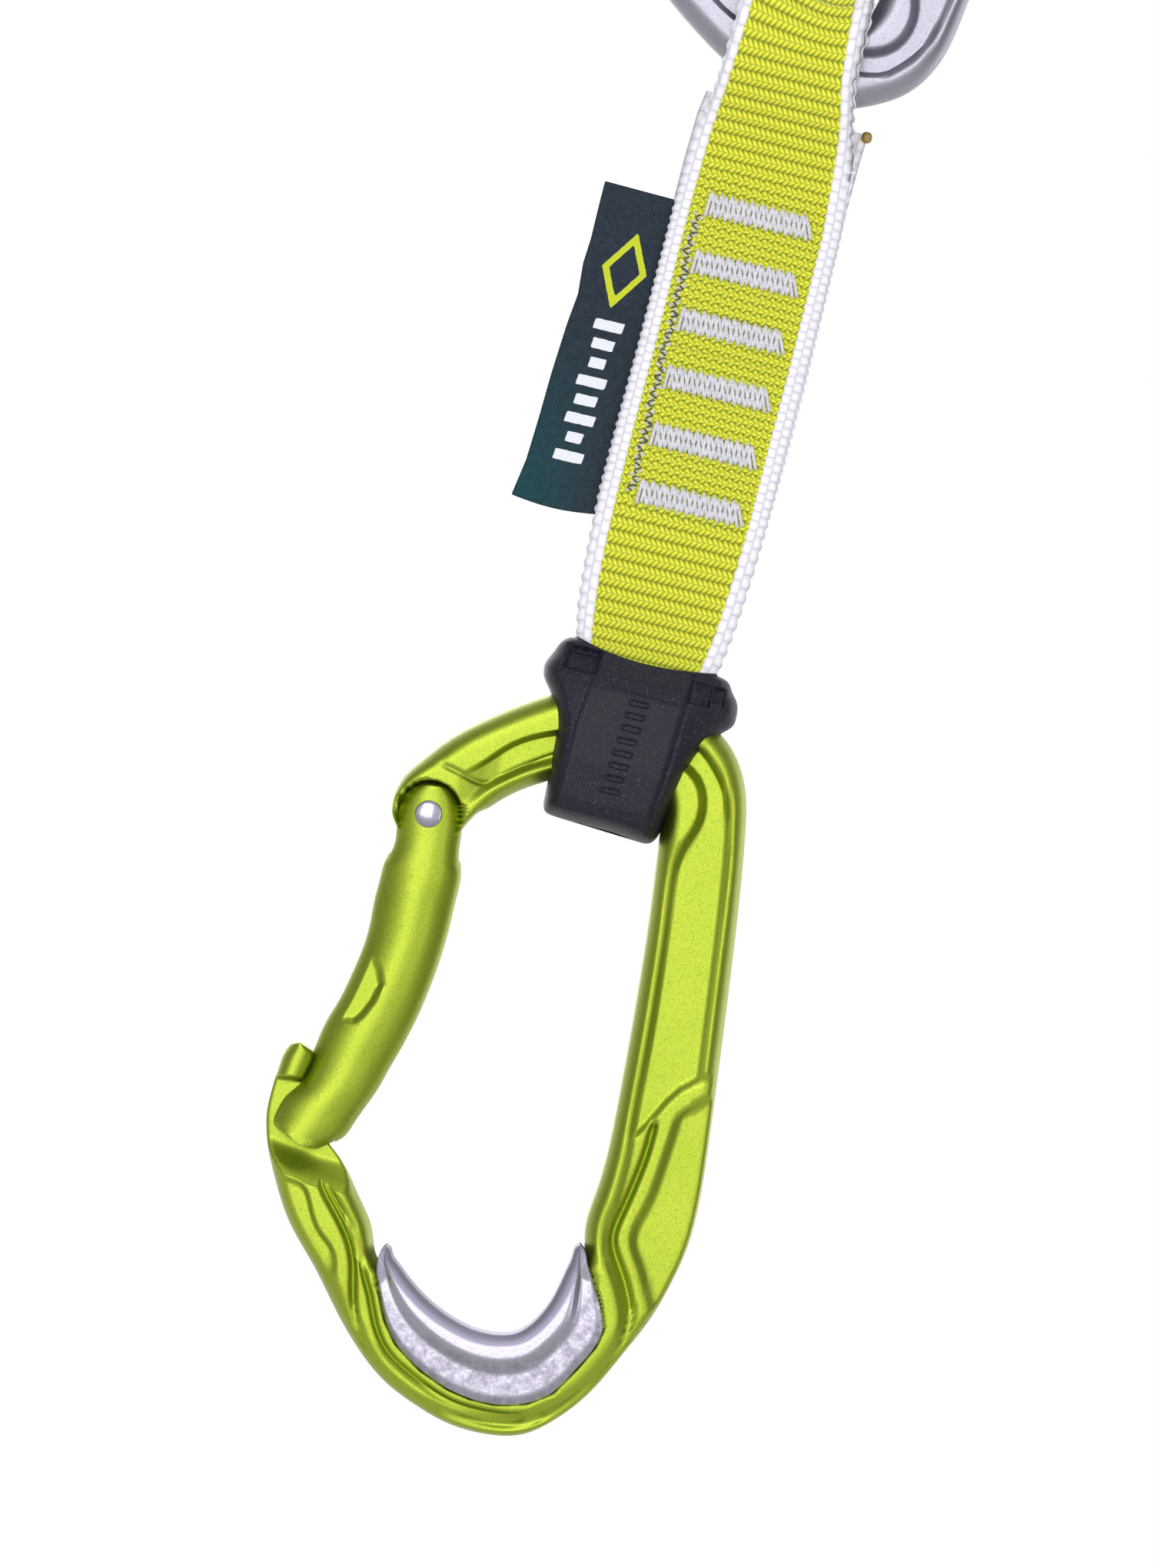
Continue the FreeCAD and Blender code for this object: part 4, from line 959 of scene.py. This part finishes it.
def bonded_thread(name, pale, shade):
    """Bonded polyester sewing thread: fine filaments under a slightly glossy bond, mottled finely where
    the bond is thin. The mottling is 0.3 mm across."""
    material = new_material(name)
    where = add(material, "TexCoord").outputs["Object"]
    twist = add(material, "TexNoise", {"Vector": where, "Scale": 1000 / 0.3, "Detail": 2.0})
    strand = add(material, "MapRange", {"Value": twist, "From Min": 0.3, "From Max": 0.6})
    tone = add(material, "Mix", {0: strand, 6: colour(shade), 7: colour(pale)}, data_type="RGBA")
    bump = add(material, "Bump", {"Height": twist, "Strength": 0.35, "Distance": 0.00006})
    shader = add(material, "BsdfPrincipled", {"Base Color": tone, "Roughness": 0.5, "Sheen Weight": 0.2,
                                              "Normal": bump})
    return finish_material(material, shader)


tack_thread = bonded_thread("bonded_polyester_thread_grey", "#D9D9DC", "#B7B6BC")
for number in range(1, 7):
    low, high = (np.array(corner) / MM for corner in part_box(f"bar_tack_{number}"))
    left, right = low[0] + 0.1, high[0] - 0.8
    rows = [thread_tube(zigzag(left + shift, right + shift, low[2], high[2], surface, reach), THREAD_RADIUS)
            for surface in (-TACK_FRONT, TACK_BACK) for shift, reach in TACK_ROWS]
    tack = join_skins(f"bar_tack_bar_{number}", rows)
    tack.data.materials.append(tack_thread)
    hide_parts(f"bar_tack_{number}")
    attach(tack, "sling")

# ---- Label stitching ---------------------------------------------------------------------------
# A narrow double zigzag down the left edge of the field sews the label in. Its needle thread is pale and
# its looper thread is black, so it reads as salt and pepper.
COLUMN_LEGS, COLUMN_WIDTH, COLUMN_RADIUS = 66, 1.1, 0.13
low, high = (np.array(corner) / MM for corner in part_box("label_stitching"))
column = (low[0] + high[0]) / 2
at = np.linspace(0, COLUMN_LEGS, COLUMN_LEGS * 5 + 1)
pale_runs, dark_runs = [], []
for surface in (-TACK_FRONT + 0.1, TACK_BACK):
    for runs, shift in ((pale_runs, 0.0), (dark_runs, 0.5)):
        swing = 2 * np.abs((at + shift * 2) / 2 - np.floor((at + shift * 2) / 2 + 0.5))
        x = column + COLUMN_WIDTH * (swing - 0.5) + 0.22 * np.sin(at * 1.9) + 0.15 * np.sin(at * 0.53)
        z = high[2] - (high[2] - low[2]) * at / at[-1]
        lift = 0.14 * np.cos(2 * np.pi * (at + shift)) - 0.16 * shift
        runs.append(thread_tube(np.stack([x, surface + np.sign(surface) * lift, z], -1), COLUMN_RADIUS))
dark_thread = bonded_thread("bonded_polyester_thread_black", "#4A4A52", "#1B1B20")
for name, runs, material, slot in (("label_stitching_pale", pale_runs, tack_thread, "tack_thread"),
                                   ("label_stitching_dark", dark_runs, dark_thread, "dark_thread")):
    stitching = join_skins(name, runs)
    stitching.data.materials.append(material)
    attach(stitching, "sling")
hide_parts("label_stitching")

# ---- Label -------------------------------------------------------------------------------------
# A damask-woven ribbon, folded once at its outer edge, with both ends caught between the tape's layers.
# It is dark navy going teal at its foot, and a lime diamond and a ladder of pale bars are woven in.
LABEL_LEFT = (                   # (height, place of the fold)
    (-105.3, -20.7), (-109, -20.75), (-113.3, -20.75), (-116.8, -21), (-121, -20.7), (-125.3, -21.2),
    (-132.3, -21.7), (-138.3, -21.95), (-144.3, -22.3), (-149.3, -23.1),
)
LABEL_TOP, LABEL_FOOT, LABEL_TUCK = -105.4, -149.5, -6.5
RIBBON_HALF, FOLD_RADIUS, TUCK_GAP = 0.07, 0.34, 0.085
DIAMOND_MIDDLE, DIAMOND_HALF, DIAMOND_LINE = (-15.4, -116.6), (3.1, 5.4), 0.85
BAR_WIDTHS = (4.0, 2.2, 4.0, 3.0, 4.0, 2.2, 3.0, 4.0)


def label_grid():
    """Rows down the ribbon, each a closed hairpin section: the front layer out to the fold, round it
    and back, then the same path again on the ribbon's other face. Its free part sways in a slow wave."""
    down = np.linspace(0, 1, 200)[:, None]
    table = np.array(LABEL_LEFT)[::-1]
    left = np.interp(LABEL_TOP + (LABEL_FOOT - LABEL_TOP) * down, table[:, 0], table[:, 1])
    out = np.linspace(0, 1, 66)
    spread = TUCK_GAP + (FOLD_RADIUS - TUCK_GAP) * np.clip((out - 0.45) / 0.5, 0, 1) ** 1.5
    turn = np.linspace(0, np.pi, 9)[1:-1]
    share = np.concatenate([out, 1 + 0 * turn, out[::-1]])
    bulge = np.concatenate([0 * out, FOLD_RADIUS * np.sin(turn), 0 * out])
    depth = np.concatenate([-spread, -FOLD_RADIUS * np.cos(turn), spread[::-1]])
    x = LABEL_TUCK + (left + FOLD_RADIUS - LABEL_TUCK) * share - bulge
    free = np.clip((-11.5 - x) / 10, 0, 1)
    sway = 0.75 * free ** 1.5 * np.sin(2 * np.pi * (down * 1.25 + 0.15)) + 0.8 * free ** 2 * (down - 0.6)
    foot = -0.5 * np.sin(np.pi * np.clip((x + 23.1) / 11.5, 0, 1)) * down
    foot = foot - 0.3 * (x + 21) / 12 * (1 - down)
    middle = np.stack([x, depth + sway, LABEL_TOP + (LABEL_FOOT - LABEL_TOP) * down + foot], -1)
    along = np.gradient(middle[..., :2], axis=1)
    along /= np.linalg.norm(along, axis=-1, keepdims=True)
    square = np.stack([-along[..., 1], along[..., 0], 0 * x], -1) * RIBBON_HALF
    square[[0, -1]] = 0
    grid = np.concatenate([middle + square, (middle - square)[:, ::-1], (middle + square)[:, :1]], axis=1)
    return np.concatenate([middle[:1, np.r_[0:len(share), len(share) - 1:-1:-1, 0]], grid])


def inside_box(place, middle, half, lean=0.0):
    """Signed depth inside a box leaning sideways with height, positive within it."""
    away = np.abs(place - middle - np.stack([lean * (place[..., 1] - middle[1]), 0 * place[..., 1]], -1))
    return (half - away).min(-1)


grid = label_grid()
flat_place = grid[..., [0, 2]]
upwards = flat_place[..., 1] - DIAMOND_MIDDLE[1]
sideways = flat_place[..., 0] - DIAMOND_MIDDLE[0] - 0.12 * upwards
half_wide, half_tall = DIAMOND_HALF
diamond = half_wide * half_tall / math.hypot(half_wide, half_tall) \
    * (1 - np.abs(sideways) / half_wide - np.abs(upwards) / half_tall)
lime_mark = np.minimum(diamond, DIAMOND_LINE - diamond)
white_mark = np.full(flat_place.shape[:2], -5.0)
for number, width in enumerate(BAR_WIDTHS):
    middle = np.array([-16.9 + 0.17 * number, -142.7 + 2.62 * number])
    white_mark = np.maximum(white_mark, inside_box(flat_place, middle, np.array([width / 2, 0.72]), 0.1))
label = skin("woven_label_ribbon", grid, {"lime_mark": lime_mark, "white_mark": white_mark})
# Satin of fine floats with a diagonal rib 0.35 mm apart; the glint along the slant is a painted highlight, a
# lit copy of the ribbon's colours on the rib crests. It goes from navy to teal at its foot, and the
# pattern's coarser floats stand a little proud.
ribbon = new_material("damask_woven_polyester")
where = add(ribbon, "TexCoord").outputs["Object"]
parts = add(ribbon, "SeparateXYZ", {0: where})
turns = add(ribbon, "Math", {0: parts.outputs["X"], 1: math.tau / 0.00052}, operation="MULTIPLY")
twill = add(ribbon, "Math", {0: parts.outputs["Z"], 1: math.tau / 0.00046, 2: turns},
            operation="MULTIPLY_ADD")
rib = add(ribbon, "Math", {0: twill}, operation="SINE")
lift = add(ribbon, "MapRange", {"Value": rib, "From Min": -1.0, "From Max": 1.0})
slub = add(ribbon, "TexNoise", {"Vector": where, "Scale": 1400.0, "Detail": 2.0})
descent = add(ribbon, "MapRange", {"Value": parts.outputs["Z"], "From Min": -0.124, "From Max": -0.149})
outwards = add(ribbon, "MapRange", {"Value": parts.outputs["X"], "From Min": -0.012, "From Max": -0.021})
teal = add(ribbon, "Math", {0: descent, 1: outwards}, operation="MULTIPLY")
ground = add(ribbon, "Mix", {0: teal, 6: colour("#131E28"), 7: colour("#0C343B")}, data_type="RGBA")
# Painted highlight: a lit copy of the ribbon's colours, mixed in on the twill's rib crests.
lit = add(ribbon, "Mix", {0: teal, 6: colour("#43505E"), 7: colour("#255E64")}, data_type="RGBA")
glints = add(ribbon, "Math", {0: lift, 1: slub}, operation="MULTIPLY")
cloth = add(ribbon, "Mix", {0: glints, 6: ground, 7: lit}, data_type="RGBA")
ragged = add(ribbon, "Math", {0: slub, 1: 0.16, 2: -0.08}, operation="MULTIPLY_ADD")
inked = []
for mark in ("lime_mark", "white_mark"):
    depth = add(ribbon, "Attribute", attribute_name=mark).outputs["Fac"]
    woven_edge = add(ribbon, "Math", {0: depth, 1: ragged}, operation="ADD")
    inked.append(add(ribbon, "Math", {0: woven_edge, 1: 0.0}, operation="GREATER_THAN"))
with_lime = add(ribbon, "Mix", {0: inked[0], 6: cloth, 7: colour("#C3CE2E")}, data_type="RGBA")
with_white = add(ribbon, "Mix", {0: inked[1], 6: with_lime, 7: colour("#E4E6EC")}, data_type="RGBA")
patterned = add(ribbon, "Math", {0: inked[0], 1: inked[1]}, operation="ADD")
raised = add(ribbon, "Math", {0: patterned, 1: 0.8, 2: lift}, operation="MULTIPLY_ADD")
weave_bump = add(ribbon, "Bump", {"Height": raised, "Strength": 0.5, "Distance": 0.00006})
finish_material(ribbon, add(ribbon, "BsdfPrincipled", {
    "Base Color": with_white, "Roughness": 0.6, "Specular IOR Level": 0.15, "Normal": weave_bump}))
label.data.materials.append(ribbon)
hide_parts("label_flap")
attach(label, "sling")

# ---- Rubber keeper -----------------------------------------------------------------------------
# A moulded rubber boot, stretched over the lower loop and gripping the bar, so that the rope carabiner
# stays square to the sling. Both faces have a raised panel, a collar with windows, and sunk bars.
SLING_DROP = 186.3      # the boot's own heights start this far below the frame's origin
BOOT = (
    (-1.5, -4.35, -1.5, -4.35), (-5, -4.24, 2, -4.52), (-7.8, -4.1, 4.7, -4.88),
    (-8.8, -3.75, 6.1, -4.6), (-9.15, -3.1, 6.75, -3.7), (-9.3, -1.5, 7.15, -2), (-9.45, 1, 7.55, 0.5),
    (-9.7, 5, 8.4, 4.4), (-9.95, 7.5, 9, 7.2), (-10.5, 9.5, 9.95, 9.3), (-11.2, 11, 11.1, 11),
    (-12.2, 12.6, 12.3, 12.3), (-13.2, 14, 13.25, 13.4), (-13.45, 15.2, 13.4, 14.6),
    (-13.3, 16.1, 13.15, 16.2), (-12.6, 17.6, 12.1, 17.7), (-11.9, 19.1, 11.4, 18.75),
    (-11, 19.85, 10.5, 19.25), (-10.35, 20, 9.6, 19.4),
)
BOOT_STATIONS, BOOT_CELLS = 330, 110
BOOT_DEPTH = (
    (-5.2, 6.2), (-4.3, 7.3), (-3, 8.3), (-1, 8.95), (4, 9.5), (14.1, 9.5), (14.7, 9.75), (15.2, 9.6),
    (15.6, 9.15), (16.6, 8.6), (17.6, 7.6), (18.6, 6.7), (20.2, 5.9),
)
PANEL_RIGHT = ((4.8, -5), (5, 0), (5.55, 5.5), (6.1, 15), (6.2, 18.5), (6.3, 21))
PANEL_LEFT = ((-7.55, -5), (-7.4, 9), (-6.6, 15), (-6.1, 18.6), (-6, 21))


def boot_depth(place):
    """How far each face stands out: the mould's slope up the boot, less the flanks beyond the panel's
    edges, the grooves beside it, the windows in the collar and the sunk bars."""
    u, v = place[..., 0], place[..., 1]
    depth = sum(np.interp(v + shift, *np.transpose(BOOT_DEPTH)) for shift in (-0.25, 0, 0.25)) / 3
    right = u - np.interp(v, *np.transpose(PANEL_RIGHT)[::-1])
    left = np.interp(v, *np.transpose(PANEL_LEFT)[::-1]) - u
    low = ramp(13.5 - v, 5)
    depth = depth - ramp(right - 0.25, 0.6) * 0.55 - 0.42 * np.maximum(right - 0.3, 0) * (1 + 0.9 * low)
    depth = depth - ramp(left - 0.15, 0.5) * 0.25 - 0.3 * np.maximum(left - 0.2, 0)
    depth = depth - 0.45 * trough(right - 0.3, 0.35) - 0.15 * trough(left - 0.1, 0.22)
    window = np.minimum(ramp(u + 10.7, 1.4) * ramp(-6.4 - u, 0.6), ramp(v - 15.7, 0.6) * ramp(18.7 - v, 1.2))
    depth = depth - 1.3 * window
    facet = np.minimum(ramp(u - 6.5, 0.3) * ramp(9.3 - u, 0.3), ramp(v - 14.9, 0.3) * ramp(17.9 - v, 0.3))
    depth = depth - (1.7 - 0.42 * (v - 15)) * facet
    slot = np.minimum(ramp(u - 9.6, 0.3) * ramp(11.2 - u, 0.5), ramp(v - 15.2, 0.4) * ramp(17.8 - v, 0.5))
    depth = depth - 0.9 * slot
    lip = trough(v - 15.0 + 0.055 * (u + 5.8), 0.16) * ramp(u + 5.9, 0.4) * ramp(5.4 - u, 0.4)
    return depth + 0.2 * lip


def sunk_bars(place):
    """A row of eight plain grooves up the panel, 1.75 mm apart, in a lean of 0.09."""
    depth = np.zeros(place.shape[:-1])
    for number in range(8):
        middle = np.array([-0.9 + 0.16 * number, 0.9 + 1.75 * number])
        depth += ramp(inside_box(place, middle, np.array([1.25, 0.36]), 0.09), 0.25)
    return 0.32 * depth


def boot_grid():
    """Stations up the boot, each a closed section: front face from left edge to right, then the back.
    The last ones turn over the lip and run down inside to a floor, which leaves the pocket open."""
    left, right, station = paired_edges(BOOT, BOOT_STATIONS)
    share = (1 - np.cos(np.linspace(0, np.pi, BOOT_CELLS + 1))) / 2
    share = 0.55 * share + 0.45 * np.linspace(0, 1, BOOT_CELLS + 1)
    place = left[:, None] + share[:, None] * (right - left)[:, None]
    open_top = np.clip((place[..., 1] - 16) / 4, 0, 1) ** 2
    place[..., 1] -= 1.5 * open_top * (1 - (2 * share - 1) ** 2)
    outline = np.vstack([left[::-1], right])
    rounding = dome(beside(place, outline[::6]) / 2.1, 2.3)
    open_sides = np.maximum(rounding, dome(np.minimum(share, 1 - share) / 0.09, 2.3))
    rounding = np.where(station[:, None] > 14, open_sides, rounding)
    depth = boot_depth(place) * rounding - sunk_bars(place)
    depth[:, [0, -1]] = 0
    top, top_depth = place[-1], depth[-1]
    rows, heights = [], []
    for inwards, drop in ((0.2, -0.22), (0.55, -0.26), (0.85, 0.0), (1.0, 0.6), (1.05, 2.5), (1.1, 6.5)):
        shrunk = top.copy()
        shrunk[:, 0] = -0.37 + (top[:, 0] + 0.37) * (1 - 0.035 * inwards)
        shrunk[:, 1] -= drop
        rows.append(shrunk)
        heights.append(top_depth * (1 - 0.17 * inwards))
    rows.append(np.repeat(rows[-1].mean(axis=0, keepdims=True), len(top), axis=0))
    heights.append(0 * top_depth)
    place = np.concatenate([place, rows])
    depth = np.concatenate([depth, heights])
    front = np.stack([place[..., 0], -depth, place[..., 1] - SLING_DROP], -1)
    back = front * (1, -1, 1)
    return np.concatenate([front, back[:, -2::-1]], axis=1)


boot = skin("moulded_rubber_boot", boot_grid())
# Thermoplastic rubber from a spark-eroded mould: a fine even grain of about 0.24 mm with a few pale specks
# in it, painted glints where the grain catches the light, and a soft sheen that comes and goes over about 5
# mm.
rubber = new_material("moulded_black_rubber")
where = add(rubber, "TexCoord").outputs["Object"]
spark = add(rubber, "TexNoise", {"Vector": where, "Scale": 4200.0, "Detail": 2.0})
bloom = add(rubber, "TexNoise", {"Vector": where, "Scale": 180.0, "Detail": 3.0})
tone = add(rubber, "Mix", {0: bloom, 6: colour("#141624"), 7: colour("#202236")}, data_type="RGBA")
speck = add(rubber, "Mix", {0: spark, 6: colour("#0C0D13"), 7: tone}, data_type="RGBA")
# Painted glints: pale specks mixed into the colour where the grain noise peaks.
glint = add(rubber, "MapRange", {"Value": spark, "From Min": 0.6, "From Max": 0.75, "To Max": 0.45})
glint_specked = add(rubber, "Mix", {0: glint, 6: speck, 7: colour("#6A6C80")}, data_type="RGBA")
gloss = add(rubber, "MapRange", {"Value": bloom, "To Min": 0.4, "To Max": 0.58})
grain = add(rubber, "Bump", {"Height": spark, "Strength": 0.5, "Distance": 0.00008})
finish_material(rubber, add(rubber, "BsdfPrincipled", {
    "Base Color": glint_specked, "Roughness": gloss, "Specular IOR Level": 0.28, "Normal": grain}))
boot.data.materials.append(rubber)
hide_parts("rubber_keeper")
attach(boot, "rope_carabiner")
